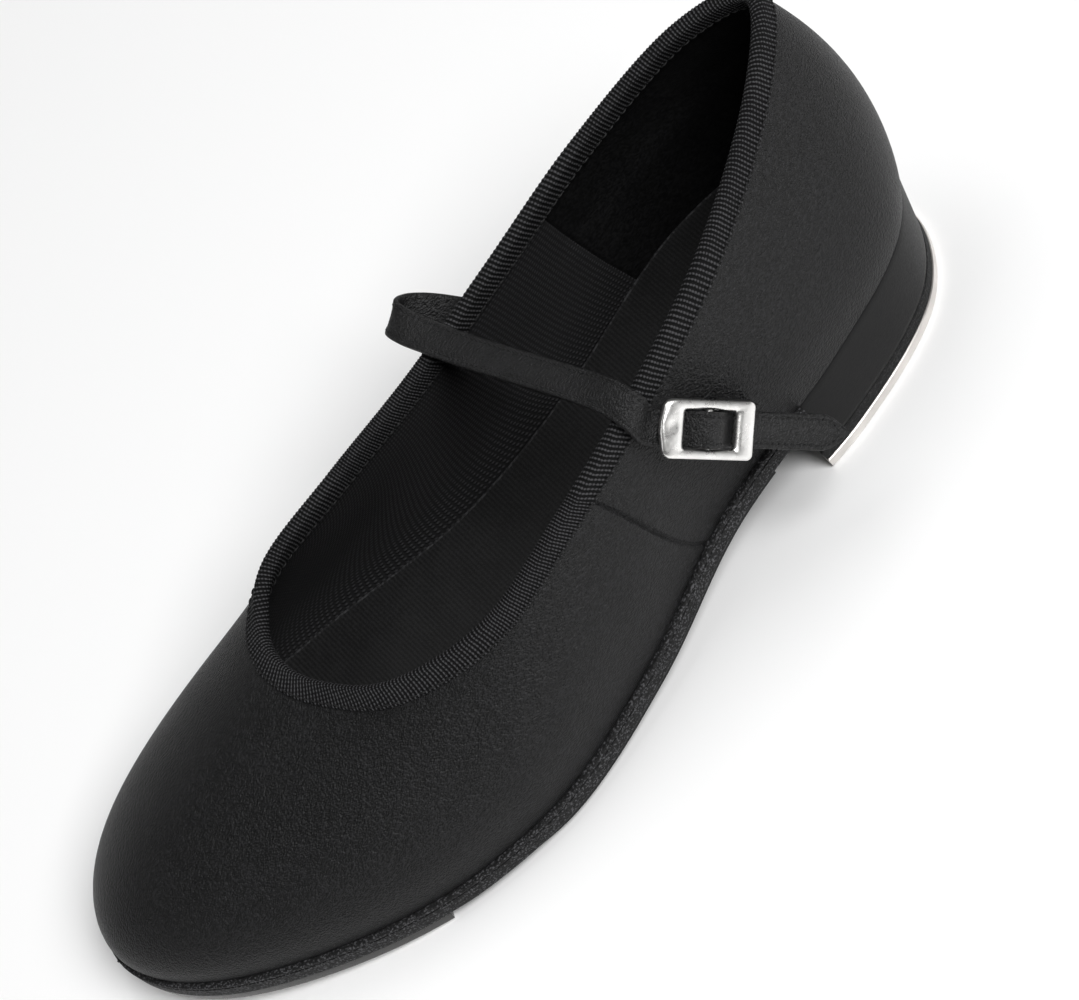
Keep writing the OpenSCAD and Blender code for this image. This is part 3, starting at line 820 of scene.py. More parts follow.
class Finish(Enum):
    """The shoe's finishes; each value is the record's material slot and its maker."""

    UPPER = ("upper_leather", Leather("upper_leather"))
    BINDING = ("binding_tape", Tape("binding_tape"))
    NET = ("mesh_lining", MeshCloth("mesh_lining"))
    LINING = ("smooth_lining", Leather(
        "smooth_lining", colour=(0.004, 0.004, 0.0042), rough=0.6, grain_mm=0.5, grain_high=0.12,
        crease=0.5, ridge_glint=1.8, gloss=0.14))
    STIFF = ("stiffener", Fibre("stiffener", colour=(0.5, 0.4, 0.26)))
    SOCK = ("sock", SockCloth("sock"))
    BOARD = ("board", Fibre("board"))
    FILLER = ("filler", Fibre("filler", colour=(0.48, 0.36, 0.2)))
    SPRING = ("spring_steel", Metal("spring_steel", colour=(0.5, 0.5, 0.52), rough=0.35))
    RIVET = ("rivet", Metal("rivet", colour=(0.6, 0.6, 0.6), rough=0.35))
    WELT = ("outsole_edge", Rubber(
        "outsole_edge", colour=(0.005, 0.005, 0.0053), rough=0.66, grit=1.5, sparkle=15.0))
    PAD = ("pad_rubber", Rubber(
        "pad_rubber", colour=(0.009, 0.009, 0.0095), rough=0.6, grit=0.5, sparkle=1.6))
    HEEL = ("heel_body", Leather(
        "heel_body", colour=(0.004, 0.004, 0.0042), rough=0.45, grain_mm=0.5, grain_high=0.03,
        crease=0.1, ridge_glint=1.2, gloss=0.16))
    LIFT = ("lift_rubber", Rubber(
        "lift_rubber", colour=(0.005, 0.005, 0.0052), rough=0.7, grit=1.3, sparkle=6.0))
    NAIL = ("nail_brass", Metal("nail_brass", colour=(0.7, 0.5, 0.22), rough=0.35))
    TAP = ("tap_metal", Metal(
        "tap_metal", colour=(0.8, 0.77, 0.74), rough=0.33, marks=0.16, brushed=(0.06, 1.0, 1.0),
        dents=0.15))
    # The toe tap's sides carry painted shade.
    TOE_TAP = ("tap_metal", Metal(
        "toe_tap_metal", colour=(0.86, 0.85, 0.84), rough=0.27, marks=0.16,
        brushed=(0.06, 1.0, 1.0), dents=0.15, side_shade=0.09))
    SCREW = ("screw_steel", Metal("screw_steel", colour=(0.7, 0.7, 0.71), rough=0.26, marks=0.2))
    STRAP = ("strap_leather", Leather(
        "strap_leather", colour=(0.006, 0.006, 0.0063), rough=0.43, grain_mm=0.45, grain_high=0.4,
        crease=0.3, ridge_glint=2.4, gloss=0.28))
    NICKEL = ("buckle_nickel", Metal(
        "buckle_nickel", colour=(0.93, 0.92, 0.9), rough=0.3, marks=0.24, brushed=(1, 1, 1),
        dents=1.6))
    TOUCH = ("fastener", MeshCloth(
        "fastener", colour=(0.006, 0.006, 0.006), pitch_mm=0.7, contrast=2.0))
    THREAD = ("upper_leather", Thread("sewing_thread"))

    @property
    def slot(self) -> str:
        """Returns the record's slot."""
        return self.value[0]


class Workroom:
    """Turns shapes in millimetres into named, dressed pieces that ride on a body."""

    def __init__(self) -> None:
        """Starts with no finish built."""
        self._made: dict[Finish, bpy.types.Material] = {}

    def material(self, finish: Finish) -> bpy.types.Material:
        """Returns the finish's material, built once."""
        if finish not in self._made:
            self._made[finish] = finish.value[1].build()
        return self._made[finish]

    def shape(self, name: str, parts: tuple[Array, list, list], finish: Finish,
              crisp_deg: float = 40.0, home: bool = True) -> bpy.types.Object:
        """Makes an object from points, faces and corner places.

        Args:
            name: The piece's name.
            parts: Points in mm, faces, and a place in mm for each corner.
            finish: What it is dressed in.
            crisp_deg: Edges sharper than this stay crisp.
            home: The points are in the shoe's working plan and move to the frame's origin.

        Returns:
            The new object, with outward faces.
        """
        points, faces, places = parts
        at = (points - (HOME if home else 0)) * MM
        mesh = bpy.data.meshes.new(name)
        mesh.from_pydata(at.tolist(), [], faces)
        flat = [c for corners in places for uv in corners for c in uv]
        mesh.uv_layers.new(name="Lay").data.foreach_set("uv", flat)
        work = bmesh.new()
        work.from_mesh(mesh)
        bmesh.ops.remove_doubles(work, verts=work.verts, dist=0.002 * MM)
        bmesh.ops.recalc_face_normals(work, faces=work.faces)
        work.to_mesh(mesh)
        work.free()
        mesh.shade_smooth()
        mesh.set_sharp_from_angle(angle=math.radians(crisp_deg))
        made = bpy.data.objects.new(name, mesh)
        bpy.context.scene.collection.objects.link(made)
        mesh.materials.append(self.material(finish))
        return made

    def cut(self, made: bpy.types.Object, cutter: bpy.types.Object) -> None:
        """Takes the cutter's volume out of a piece and removes the cutter.

        Args:
            made: The piece.
            cutter: A closed shape.
        """
        tool = made.modifiers.new("bore", "BOOLEAN")
        tool.operation, tool.solver, tool.object = "DIFFERENCE", "EXACT", cutter
        shown = made.evaluated_get(bpy.context.evaluated_depsgraph_get())
        mesh = bpy.data.meshes.new_from_object(shown)
        made.modifiers.clear()
        made.data = mesh
        mesh.set_sharp_from_angle(angle=math.radians(30))
        bpy.data.objects.remove(cutter)

    def place(self, made: bpy.types.Object, finish: Finish, body: str,
              *nodes: str) -> bpy.types.Object:
        """Puts a finished piece on its body and reports it.

        Args:
            made: The piece.
            finish: What it is dressed in.
            body: The body that it rides on.
            nodes: CAD nodes that it replaces.

        Returns:
            The piece.
        """
        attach(made, body)
        finish.slot
        if nodes:
            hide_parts(*nodes)
        LOG.info("%s on %s, %d faces", made.name, body, len(made.data.polygons))
        return made

    def dress(self, node: str, finish: Finish) -> None:
        """Gives a carried-over CAD node its finish and reports it.

        Args:
            node: The node's name.
            finish: What it is dressed in.
        """
        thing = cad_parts[node]
        thing.data.materials.clear()
        thing.data.materials.append(self.material(finish))
        finish.slot
        LOG.info("%s dressed as %s", node, finish.name)


SHOP = Workroom()


@dataclass
class Stitching:
    """A row of separate thread stitches along a path on a surface."""

    long_mm: float = 1.7
    gap_mm: float = 0.6
    radius: float = 0.2
    rise: float = 0.06
    lean_deg: float = 0.0

    def row(self, path: Array, out: Array, closed: bool = False) -> tuple[Array, list, list]:
        """Builds the stitches of one row.

        Args:
            path: Points along the row, on the surface.
            out: Direction out of the surface at each point.
            closed: The row joins its own start.

        Returns:
            Points, faces and corner places.
        """
        if closed:
            path, out = np.vstack([path, path[:1]]), np.vstack([out, out[:1]])
        s = run_length(path)
        count = max(1, int(s[-1] / (self.long_mm + self.gap_mm)))
        pitch = s[-1] / count
        parts = []
        spread = np.array([-1, -0.6, 0, 0.6, 1])
        for k in range(count):
            ends = (k + 0.5) * pitch + spread * self.long_mm / 2
            p = np.stack([np.interp(ends, s, path[:, c]) for c in range(3)], 1)
            n = unit(np.stack([np.interp(ends, s, out[:, c]) for c in range(3)], 1))
            d = tangents(p)
            side = unit(np.cross(d, n))
            lean = spread * math.tan(math.radians(self.lean_deg)) * self.long_mm / 2
            p = p + side * lean[:, None]
            r = self.radius * np.array([0.3, 0.85, 1, 0.85, 0.3])
            lift = self.rise + self.radius * np.array([-0.9, 0.1, 0.45, 0.1, -0.9])
            p = p + n * lift[:, None]
            ring = [p + (side * math.cos(a) + n * math.sin(a)) * r[:, None]
                    for a in np.arange(6) * math.pi / 3]
            parts.append(Lattice(np.stack(ring, 1), ring_cols=True, ladder=True).build())
        return join(parts)


@dataclass
class Upper:
    """Outer leather, linings and binding of the closed upper."""

    leather: float = 1.3
    lining: float = 0.8
    stiff: float = 0.8
    tape: float = 0.6
    cols: int = 34
    step: float = 0.05
    seam_groove: float = 0.5
    groove_w: float = 0.55
    rib_high: float = 0.2
    lining_seam: tuple[float, float] = (5.25, 10.42)

    def stations(self, a0: float, a1: float, step: float) -> Array:
        """Spaces stations along a panel, denser at both ends.

        Args:
            a0: First station.
            a1: Last station.
            step: Distance between the inner ones.

        Returns:
            The stations.
        """
        n = max(12, int((a1 - a0) / step))
        ends = np.array([0, 0.002, 0.005, 0.009, 0.014, 0.02, 0.03, 0.042])
        inner = np.linspace(0.055, a1 - a0 - 0.055, n)
        return a0 + np.concatenate([ends, inner, (a1 - a0) - ends[::-1]])

    def stiffness(self, a: Array, t: Array) -> Array:
        """Finds the stiffener's thickness under the leather.

        Args:
            a: Stations.
            t: Levels.

        Returns:
            The thickness of the toe puff or the heel counter, or 0.
        """
        toe = np.minimum(np.abs(a), np.abs(STATIONS - a))
        puff = (1 - smooth(toe, 2.1, 2.5)) * (1 - smooth(t, 0.42, 0.52))
        back = (1 - smooth(np.abs(np.mod(a, STATIONS) - BACK), 2.3, 2.75)) * (1 - smooth(t, 0.52, 0.66))
        return self.stiff * np.maximum(puff, back)

    def folds(self, u: Array, t: Array) -> Array:
        """Finds how far walking creases move the outer face.

        Args:
            u: Stations.
            t: Levels.

        Returns:
            The move outward.
        """
        u = np.mod(u + BACK, STATIONS) - BACK
        def fan(middle: float, sign: float, seed: float) -> Array:
            """Makes ripples that spread from one side of the ball.

            Args:
                middle: Station of the ripples' middle.
                sign: Side of the shoe, 1 or -1.
                seed: Shifts the ripples.

            Returns:
                Their height, up to about 1.
            """
            s = (u - middle) * 40
            ripple = (np.sin(s / 1.9 + sign * t * 9 + seed) * 0.55
                      + np.sin(s / 1.05 + 3 * seed - sign * t * 14) * 0.25
                      + np.sin(s / 3.7 + t * 5 + 2 * seed) * 0.6)
            return ripple * bell(u, middle, 0.62) * bell(t, 0.5, 0.34)
        slow = (np.sin(u * 2.3 + 1) * np.sin(t * 7 + u) * 0.12
                + np.sin(u * 5.1 + 2) * np.sin(t * 4 - u * 2) * 0.08) * bell(t, 0.5, 0.4)
        return 0.075 * fan(3.1, 1.0, 0.4) + 0.05 * fan(-2.8, -1.0, 1.7) + slow * 0.9

    def shell(self, a: Array, t_top: Array, outer: Callable, inner: Callable) -> Array:
        """Builds a wall layer's loops, up its outer face and down its inner face.

        Args:
            a: Stations of the rows.
            t_top: Level of each row's top edge.
            outer: Depth of the outer face from station and level.
            inner: Depth of the inner face from station and level.

        Returns:
            Points as rows, columns, 3.
        """
        v = np.linspace(0, 1, self.cols)
        aa, t = np.broadcast_arrays(a[:, None], v[None] * t_top[:, None])
        front = LAST.skin(aa, t, outer(aa, t))
        rear = LAST.skin(aa, t, inner(aa, t))
        return np.concatenate([front, rear[:, ::-1]], 1)

    def panel(self, name: str, a0: float, a1: float, node: str, proud: float) -> None:
        """Makes one outer leather panel with turned edges at its seams.

        Args:
            name: The piece's name.
            a0: Station of its first seam.
            a1: Station of its last seam.
            node: CAD node that it replaces.
            proud: How far it stands out at its seams.
        """
        a = self.stations(a0, a1, self.step)
        def outer(aa: Array, t: Array) -> Array:
            """Works out the outer face, with its groove and turned edge.

            Args:
                aa: Grid lines, in stations.
                t: Levels.

            Returns:
                Its depth under the last's wall.
            """
            edge = np.minimum(aa - a0, a1 - aa) * STATION_MM
            dip = self.seam_groove * np.exp(-(edge / self.groove_w) ** 2)
            return dip - self.folds(LAST.slanted(aa, t), t) - proud * (1 - smooth(edge, 0.5, 9))
        rows = self.shell(a, np.full(len(a), 0.985), outer, lambda aa, t: 0 * t + self.leather)
        piece = SHOP.shape(name, Lattice(rows, ring_cols=True, ladder=True).build(), Finish.UPPER)
        SHOP.place(piece, Finish.UPPER, ROOT, node)

    def lining_part(self, name: str, a0: float, a1: float, node: str, finish: Finish) -> None:
        """Makes one lining panel behind the leather and its stiffeners.

        Args:
            name: The piece's name.
            a0: Station of its first seam.
            a1: Station of its last seam.
            node: CAD node that it replaces.
            finish: What it is dressed in.
        """
        a = self.stations(a0, a1, self.step)
        def outer(aa: Array, t: Array) -> Array:
            """Returns the depth of the face against the leather."""
            return self.leather + self.stiffness(aa, t) + 0.01
        def inner(aa: Array, t: Array) -> Array:
            """Works out the face against the foot, with soft waves.

            Args:
                aa: Grid lines, in stations.
                t: Levels.

            Returns:
                Its depth under the last's wall.
            """
            edge = np.minimum(aa - a0, a1 - aa) * STATION_MM
            dip = 0.35 * np.exp(-(edge / self.groove_w) ** 2)
            wave = 0.14 * np.sin(aa * 6.0 + t * 5) * np.sin(t * 9 - aa * 2) * bell(t, 0.5, 0.35)
            return self.leather + self.stiffness(aa, t) + self.lining - dip + wave
        rows = self.shell(a, np.full(len(a), 0.98), outer, inner)
        piece = SHOP.shape(name, Lattice(rows, ring_cols=True, ladder=True).build(), finish)
        SHOP.place(piece, finish, ROOT, node)

    def binding(self) -> None:
        """Makes the ribbed tape folded over the topline, with its two rows of stitches."""
        dense = np.linspace(0, STATIONS, 1601)
        crest = LAST.wall(dense, np.ones_like(dense))
        s = run_length(crest)
        ribs = int(s[-1] / RIB_MM)
        phase = np.arange(ribs * 4) / 4
        u = np.interp(phase * s[-1] / ribs, s, dense)
        along = np.arange(ribs * 4 + 1) / 4 * RIB_MM
        inner = self.leather + self.lining
        t0 = LAST.tape_t(u)
        top_up, side_out = LAST.up(u, np.ones_like(u)), LAST.out(u, t0)
        def rib(width: float) -> Array:
            """Returns the ribs' height at a distance across the tape."""
            turn = 2 * math.pi * (phase + width * RIB_SLANT / RIB_MM)
            return (self.rib_high * (0.5 + 0.5 * np.sin(turn)))[:, None]
        def at(v: float, depth: float, lift: float = 0.0) -> Array:
            """Returns the tape's line at a share of its leg, depth and lift."""
            t = t0 + (1 - t0) * v
            return LAST.skin(u, t, np.full_like(u, depth)) + top_up * lift
        leg = LAST.tape_leg
        outer = [(0.0, -0.02), (0.02, -self.tape * 0.75), (0.1, -self.tape), (0.4, -self.tape),
                 (0.75, -self.tape * 1.05), (1.0, -self.tape)]
        cols, across = [], []
        for v, depth in outer:
            width = leg * v
            proud = rib(width) if v > 0 else 0
            cols.append(at(v, depth) + side_out * proud)
            across.append(width)
        middle, radius = inner / 2, inner / 2 + self.tape
        for k in range(1, 8):
            b = math.pi * k / 8
            width = leg + radius * b
            turn_out = side_out * math.cos(b) + top_up * math.sin(b)
            cols.append(at(1.0, middle - radius * math.cos(b), math.sin(b) * radius * 0.62)
                        + turn_out * rib(width))
            across.append(width)
        crown = leg + radius * math.pi
        for v, depth in outer[::-1]:
            width = crown + leg * (1 - v)
            proud = rib(width) if v > 0 else 0
            cols.append(at(v, inner - depth) - side_out * proud)
            across.append(width)
        for v, depth in ((0.1, inner - 0.1), (0.9, inner - 0.1), (0.9, 0.1), (0.1, 0.1)):
            cols.append(at(v, depth))
            across.append(across[-1])
        across.append(across[-1])
        rows = np.stack(cols, 1)
        piece = SHOP.shape("topline_binding_tape",
                           Lattice(rows, ring_rows=True, ring_cols=True, along=along,
                                   across=np.array(across)).build(), Finish.BINDING, 70)
        SHOP.place(piece, Finish.BINDING, ROOT, "topline_binding")
        sew = Stitching(1.75, 0.5, 0.2, 0.12, 8)
        w = np.linspace(0, STATIONS, 640, endpoint=False)
        for name, depth, v in (("binding_outer_stitches", -self.tape - 0.1, 0.17),
                               ("binding_inner_stitches", inner + self.tape + 0.1, 0.17)):
            t = LAST.tape_t(w) * (1 - v) + v
            path = LAST.skin(w, t, np.full_like(w, depth))
            sign = 1 if depth < 0 else -1
            made = SHOP.shape(name, sew.row(path, LAST.out(w, t) * sign, True), Finish.THREAD)
            SHOP.place(made, Finish.THREAD, ROOT)

    def seam_stitches(self) -> None:
        """Sews the side seams with short stitches beside the groove."""
        sew = Stitching(1.5, 0.8, 0.13, 0.0)
        for side, a in (("outer", LAST.side_seam + 0.022), ("inner", STATIONS - LAST.side_seam - 0.022)):
            t = np.linspace(0.1, 0.86, 60)
            aa = np.full_like(t, a)
            u = LAST.slanted(aa, t)
            path = LAST.skin(aa, t, 0 * t + 0.05)
            made = SHOP.shape(f"side_seam_{side}_stitches", sew.row(path, LAST.out(u, t)),
                              Finish.THREAD)
            SHOP.place(made, Finish.THREAD, ROOT)

    def build(self) -> None:
        """Makes every piece of the upper."""
        s = LAST.side_seam
        self.panel("vamp_leather", -s, s, "vamp", 0.0)
        self.panel("quarter_outer_leather", s, BACK, "quarter_lateral", 0.12)
        self.panel("quarter_inner_leather", BACK, STATIONS - s, "quarter_medial", 0.12)
        first, last = self.lining_seam
        self.lining_part("vamp_net_lining", last - STATIONS, first, "vamp_lining", Finish.NET)
        self.lining_part("quarter_smooth_lining", first, last, "quarter_lining", Finish.LINING)
        self.binding()
        self.seam_stitches()
        for node in ("toe_puff", "heel_counter"):
            SHOP.dress(node, Finish.STIFF)


@dataclass
class Slab:
    """A sole layer that follows the lasting plane between two places along the shoe."""

    front_x: float
    back_x: float
    profile: Sequence[tuple[float, float]]
    rows: int = 110
    cols: int = 24
    front_bow: float = 0.0
    dish: float = 0.0

    def build(self, blunt_back: bool = False) -> tuple[Array, list, list]:
        """Builds the layer.

        Args:
            blunt_back: The rear end is rounded like the toe.

        Returns:
            Points, faces and corner places; across is the distance in from the edge.
        """
        tip = LAST.feather[:, 0].max() + 0.35
        span = min(self.front_x, tip) - self.back_x
        s = np.linspace(0.012, 1, self.rows)
        if blunt_back:
            xs = self.back_x + span * (1 + np.cos(math.pi * np.clip(s, 0.02, 0.98))) / 2
        elif self.front_x < tip:
            xs = self.back_x + span * (1 - np.linspace(0, 1, self.rows))
        else:
            xs = tip - span * s ** 1.9
        left, n_left, right, n_right = LAST.sides(xs)
        weight = np.clip(1 - (xs[0] - xs) / 40, 0, 1) ** 2 if self.front_bow else 0 * xs
        def ring(out: float, dz: float, side: int) -> Array:
            """Draws one line of the edge.

            Args:
                out: How far it stands out of the feather line.
                dz: Its height over the lasting plane.
                side: 0 for the outer side, 1 for the inner side.

            Returns:
                The line's points.
            """
            base, normal = (left, n_left) if side == 0 else (right, n_right)
            p = base + normal * out
            return self._lift(p, dz, weight)
        edge_l = [ring(o, z, 0) for o, z in self.profile]
        edge_r = [ring(o, z, 1) for o, z in self.profile]
        f = (1 - np.cos(math.pi * np.linspace(0, 1, self.cols))) / 2
        def across(a: Array, b: Array, dz: float, dish: float) -> list[Array]:
            """Draws the lines of a face between two edges.

            Args:
                a: The edge where the face starts.
                b: The edge where it ends.
                dz: Its height over the lasting plane.
                dish: How far its middle sinks.

            Returns:
                The lines between the edges.
            """
            plan = [a[:, :2] * (1 - k) + b[:, :2] * k for k in f[1:-1]]
            out = []
            for k, p in zip(f[1:-1], plan):
                q = np.column_stack([p, LAST.plane_z(p[:, 0]) + dz
                                     - dish * (4 * k * (1 - k)) ** 0.6])
                out.append(q)
            return out
        top = across(edge_r[0], edge_l[0], self.profile[0][1], self.dish)
        low = across(edge_l[-1], edge_r[-1], self.profile[-1][1], 0)
        loop = top + edge_l + low + edge_r[::-1]
        pts = np.stack(loop, 1)
        half = len(top)
        inner = [8.0] * half + [0.0] * len(edge_l) + [8.0] * half + [0.0] * len(edge_r) + [8.0]
        order = list(range(half // 2, len(loop))) + list(range(half // 2))
        pts = pts[:, order]
        inner = [inner[k] for k in order] + [8.0]
        return Lattice(pts, ring_cols=True, ladder=True, along=xs - HOME[0],
                       across=np.array(inner)).build()

    def _lift(self, plan: Array, dz: float, weight: Array) -> Array:
        """Returns plan points at their height, with the front edge bowed back."""
        x = plan[:, 0] - weight * self.front_bow * (plan[:, 1] / HALF_TREAD) ** 2
        return np.column_stack([x, plan[:, 1], LAST.plane_z(x) + dz])


@dataclass
class Bottom:
    """Sock, hidden layers, outsole and the patterned rubber pad."""

    outsole_t: float = 5.1
    pad_t: float = 1.6
    welt: float = 1.3
    heel_x: float = 57.0
    sock_low: float = 3.5
    sock_t: float = 1.2
    pad_back: float = 70.3
    pad_bow: float = 8.0
    stud_mm: float = 3.1
    stud_high: float = 0.45
    stud_x: tuple[float, float] = (73.0, 178.5)

    def outsole(self) -> None:
        """Makes the sole strip with a sewn rand groove along its top."""
        w, h = self.welt, self.outsole_t
        profile = [(-3.0, 0.0), (-0.2, 0.0), (w - 0.35, 0.0), (w - 0.08, -0.15), (w, -0.45),
                   (w, -0.85), (w - 0.4, -1.0), (w - 0.4, -1.2), (w, -1.35), (w + 0.02, -2.4),
                   (w, -h + 0.7), (w - 0.12, -h + 0.25), (w - 0.5, -h)]
        parts = Slab(300, self.heel_x, profile, 150, 16).build()
        piece = SHOP.shape("outsole_strip", parts, Finish.WELT, 50)
        SHOP.place(piece, Finish.WELT, ROOT, "outsole")

    def pad(self) -> None:
        """Makes the rubber pad under the tread with rows of small pyramids."""
        h, low = self.outsole_t, self.outsole_t + self.pad_t - self.stud_high
        edge = self.welt - 0.5
        profile = [(edge - 3, -h), (edge, -h), (edge, -low + 0.2), (edge - 0.25, -low),
                   (edge - 1.4, -low)]
        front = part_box("rubber_pad")[1].x / MM + HOME[0] - 1.0
        parts = [Slab(front, self.pad_back, profile, 60, 14, front_bow=self.pad_bow).build()]
        parts += self._studs(low, edge)
        piece = SHOP.shape("tread_pad", join(parts), Finish.PAD, 20)
        SHOP.place(piece, Finish.PAD, ROOT, "rubber_pad")

    def _studs(self, low: float, edge: float) -> list[tuple[Array, list, list]]:
        """Makes the pyramids inside the pad's outline.

        Args:
            low: Depth of the pad's face under the lasting plane.
            edge: How far the pad stands out of the feather line.

        Returns:
            Points, faces and corner places of each pyramid.
        """
        half = self.stud_mm * 0.46
        parts = []
        faces = [(0, 1, 4), (1, 2, 4), (2, 3, 4), (3, 0, 4), (3, 2, 1, 0)]
        for i in range(-2, 80):
            x = self.stud_x[0] + i * self.stud_mm / 2
            left, _, right, _ = LAST.sides(np.array([x]))
            for j in range(-16, 17):
                y = (j + 0.5 * (i % 2)) * self.stud_mm
                room = min(left[0, 1] + edge - 2 - y, y - right[0, 1] + edge - 2)
                if room < half or x > self.stud_x[1] - self.pad_bow * (y / HALF_TREAD) ** 2:
                    continue
                z = float(LAST.plane_z(np.array([x]))[0]) - low
                fore, aft = LAST.plane_z(np.array([x + 1, x - 1]))
                slope = float(fore - aft) / 2
                pts = np.array([[x + half, y, z + slope * half + 0.05], [x, y + half, z + 0.05],
                                [x - half, y, z - slope * half + 0.05], [x, y - half, z + 0.05],
                                [x, y, z - self.stud_high]])
                parts.append((pts, faces, [tuple((0.0, 0.0) for _ in f) for f in faces]))
        return parts

    def sock(self) -> None:
        """Makes the sock lining, slightly dished, with a soft pale cut edge."""
        out = -(1.3 + 0.8 + 0.8 + 0.6)
        low, high = self.sock_low, self.sock_low + self.sock_t
        profile = [(out - 0.9, high), (out - 0.3, high - 0.03), (out, high - 0.4),
                   (out, low + 0.2), (out - 0.1, low)]
        x0, x1 = LAST.feather[:, 0].min() + 3.6, LAST.feather[:, 0].max() - 3.6
        parts = Slab(x1, x0, profile, 160, 26, dish=0.35).build(blunt_back=True)
        piece = SHOP.shape("sock_cover", parts, Finish.SOCK, 50)
        SHOP.place(piece, Finish.SOCK, ROOT, "sock_lining")

    def build(self) -> None:
        """Makes the bottom's pieces and dresses the hidden ones."""
        self.outsole()
        self.pad()
        self.sock()
        for node, finish in (("insole_board", Finish.BOARD), ("bottom_filler", Finish.FILLER),
                             ("shank", Finish.SPRING), ("shank_rivets", Finish.RIVET)):
            SHOP.dress(node, finish)


@dataclass
class Heel:
    """Heel block, top lift and nails."""

    breast_x: float = 61.0
    breast_r: float = 70.0
    lift_top: float = 6.0
    lift_low: float = 3.0
    forward: float = 2.8
    top_z: float = 28.0
    seat_under: float = 5.1
    plan_u: tuple[float, float] = (5.55, 10.45)
    block_u: tuple[float, float] = (5.2, 10.8)
    plan_end: float = 59.9
    block_end: float = 60.4
    seat_end: float = 57.2

    def breast(self, y: Array) -> Array:
        """Returns x of the hollow breast at y."""
        middle = self.breast_x + math.sqrt(self.breast_r ** 2 - 900)
        return middle - np.sqrt(self.breast_r ** 2 - np.asarray(y, float) ** 2)

    def base(self, u: Array, inset_mm: float) -> Array:
        """Returns the outline of the heel's foot."""
        return LAST.outline(u, -inset_mm) + np.array([self.forward, 0])

    def plan(self, inset_mm: float) -> Array:
        """Draws the plan of a layer at the ground.

        Args:
            inset_mm: How far it stays inside the feather line.

        Returns:
            The plan, anticlockwise, with the hollow breast.
        """
        u = np.linspace(*self.plan_u, 150)
        walls = self.base(u, inset_mm)
        ends = walls[walls[:, 0] < self.plan_end]
        p, q = (np.array([[self.plan_end + 0.05, ends[k][1]]]) for k in (0, -1))
        y = np.linspace(ends[-1][1], ends[0][1], 28)[1:-1]
        face = np.stack([np.minimum(self.plan_end, self.breast(y)), y], 1)
        return np.vstack([p, ends, q, face])

    def block(self) -> None:
        """Makes the heel block between the top lift and the seat."""
        u = np.linspace(*self.block_u, 190)
        low, high = self.base(u, 0.8), LAST.outline(u, 0.0)
        inside = low[:, 0] < self.block_end
        low, high = low[inside], high[inside]
        y = np.linspace(low[-1, 1], low[0, 1], 34)[1:-1]
        face = np.stack([self.breast(y), y], 1)
        low = np.vstack([low, face])
        top_face = np.stack([np.minimum(self.breast(y), self.breast_x), y], 1)
        high = np.vstack([high, top_face])
        rows = []
        for k in np.concatenate([[0, 0.01, 0.03], np.linspace(0.08, 0.95, 12), [0.975, 0.99, 1.0]]):
            top = LAST.plane_z(high[:, 0]) - np.where(high[:, 0] > self.seat_end, self.seat_under, 0.0)
            z = self.lift_top + (top - self.lift_top) * k
            share = ((z - self.lift_top) / (self.top_z - self.lift_top))[:, None]
            plan = low * (1 - share) + high * share
            round_off = 0.35 * (1 - smooth(np.array(k), 0, 0.03)) + 0.5 * smooth(np.array(k), 0.965, 1)
            plan = inset(plan, float(round_off))
            rows.append(np.column_stack([plan, z]))
        pts = np.stack(rows, 1)
        p, faces, places = Lattice(pts, ring_rows=True).build()
        n, cols = pts.shape[:2]
        for end in (0, cols - 1):
            faces.append(tuple(i * cols + end for i in range(n)))
            places.append(tuple((0.0, 0.0) for _ in range(n)))
        piece = SHOP.shape("heel_block_covered", (p, faces, places), Finish.HEEL, 38)
        SHOP.place(piece, Finish.HEEL, ROOT, "heel_block")

    def lift(self) -> None:
        """Makes the rubber top lift with softened edges."""
        plan = self.plan(0.75)
        z0, z1 = self.lift_low, self.lift_top
        parts = stacked([inset(plan, 0.25), plan, plan, inset(plan, 0.3)],
                        [z0, z0 + 0.25, z1 - 0.3, z1])
        piece = SHOP.shape("heel_lift_rubber", parts, Finish.LIFT)
        SHOP.place(piece, Finish.LIFT, ROOT, "heel_top_lift")

    def build(self) -> None:
        """Makes the heel's pieces."""
        self.block()
        self.lift()
        SHOP.dress("heel_nails", Finish.NAIL)


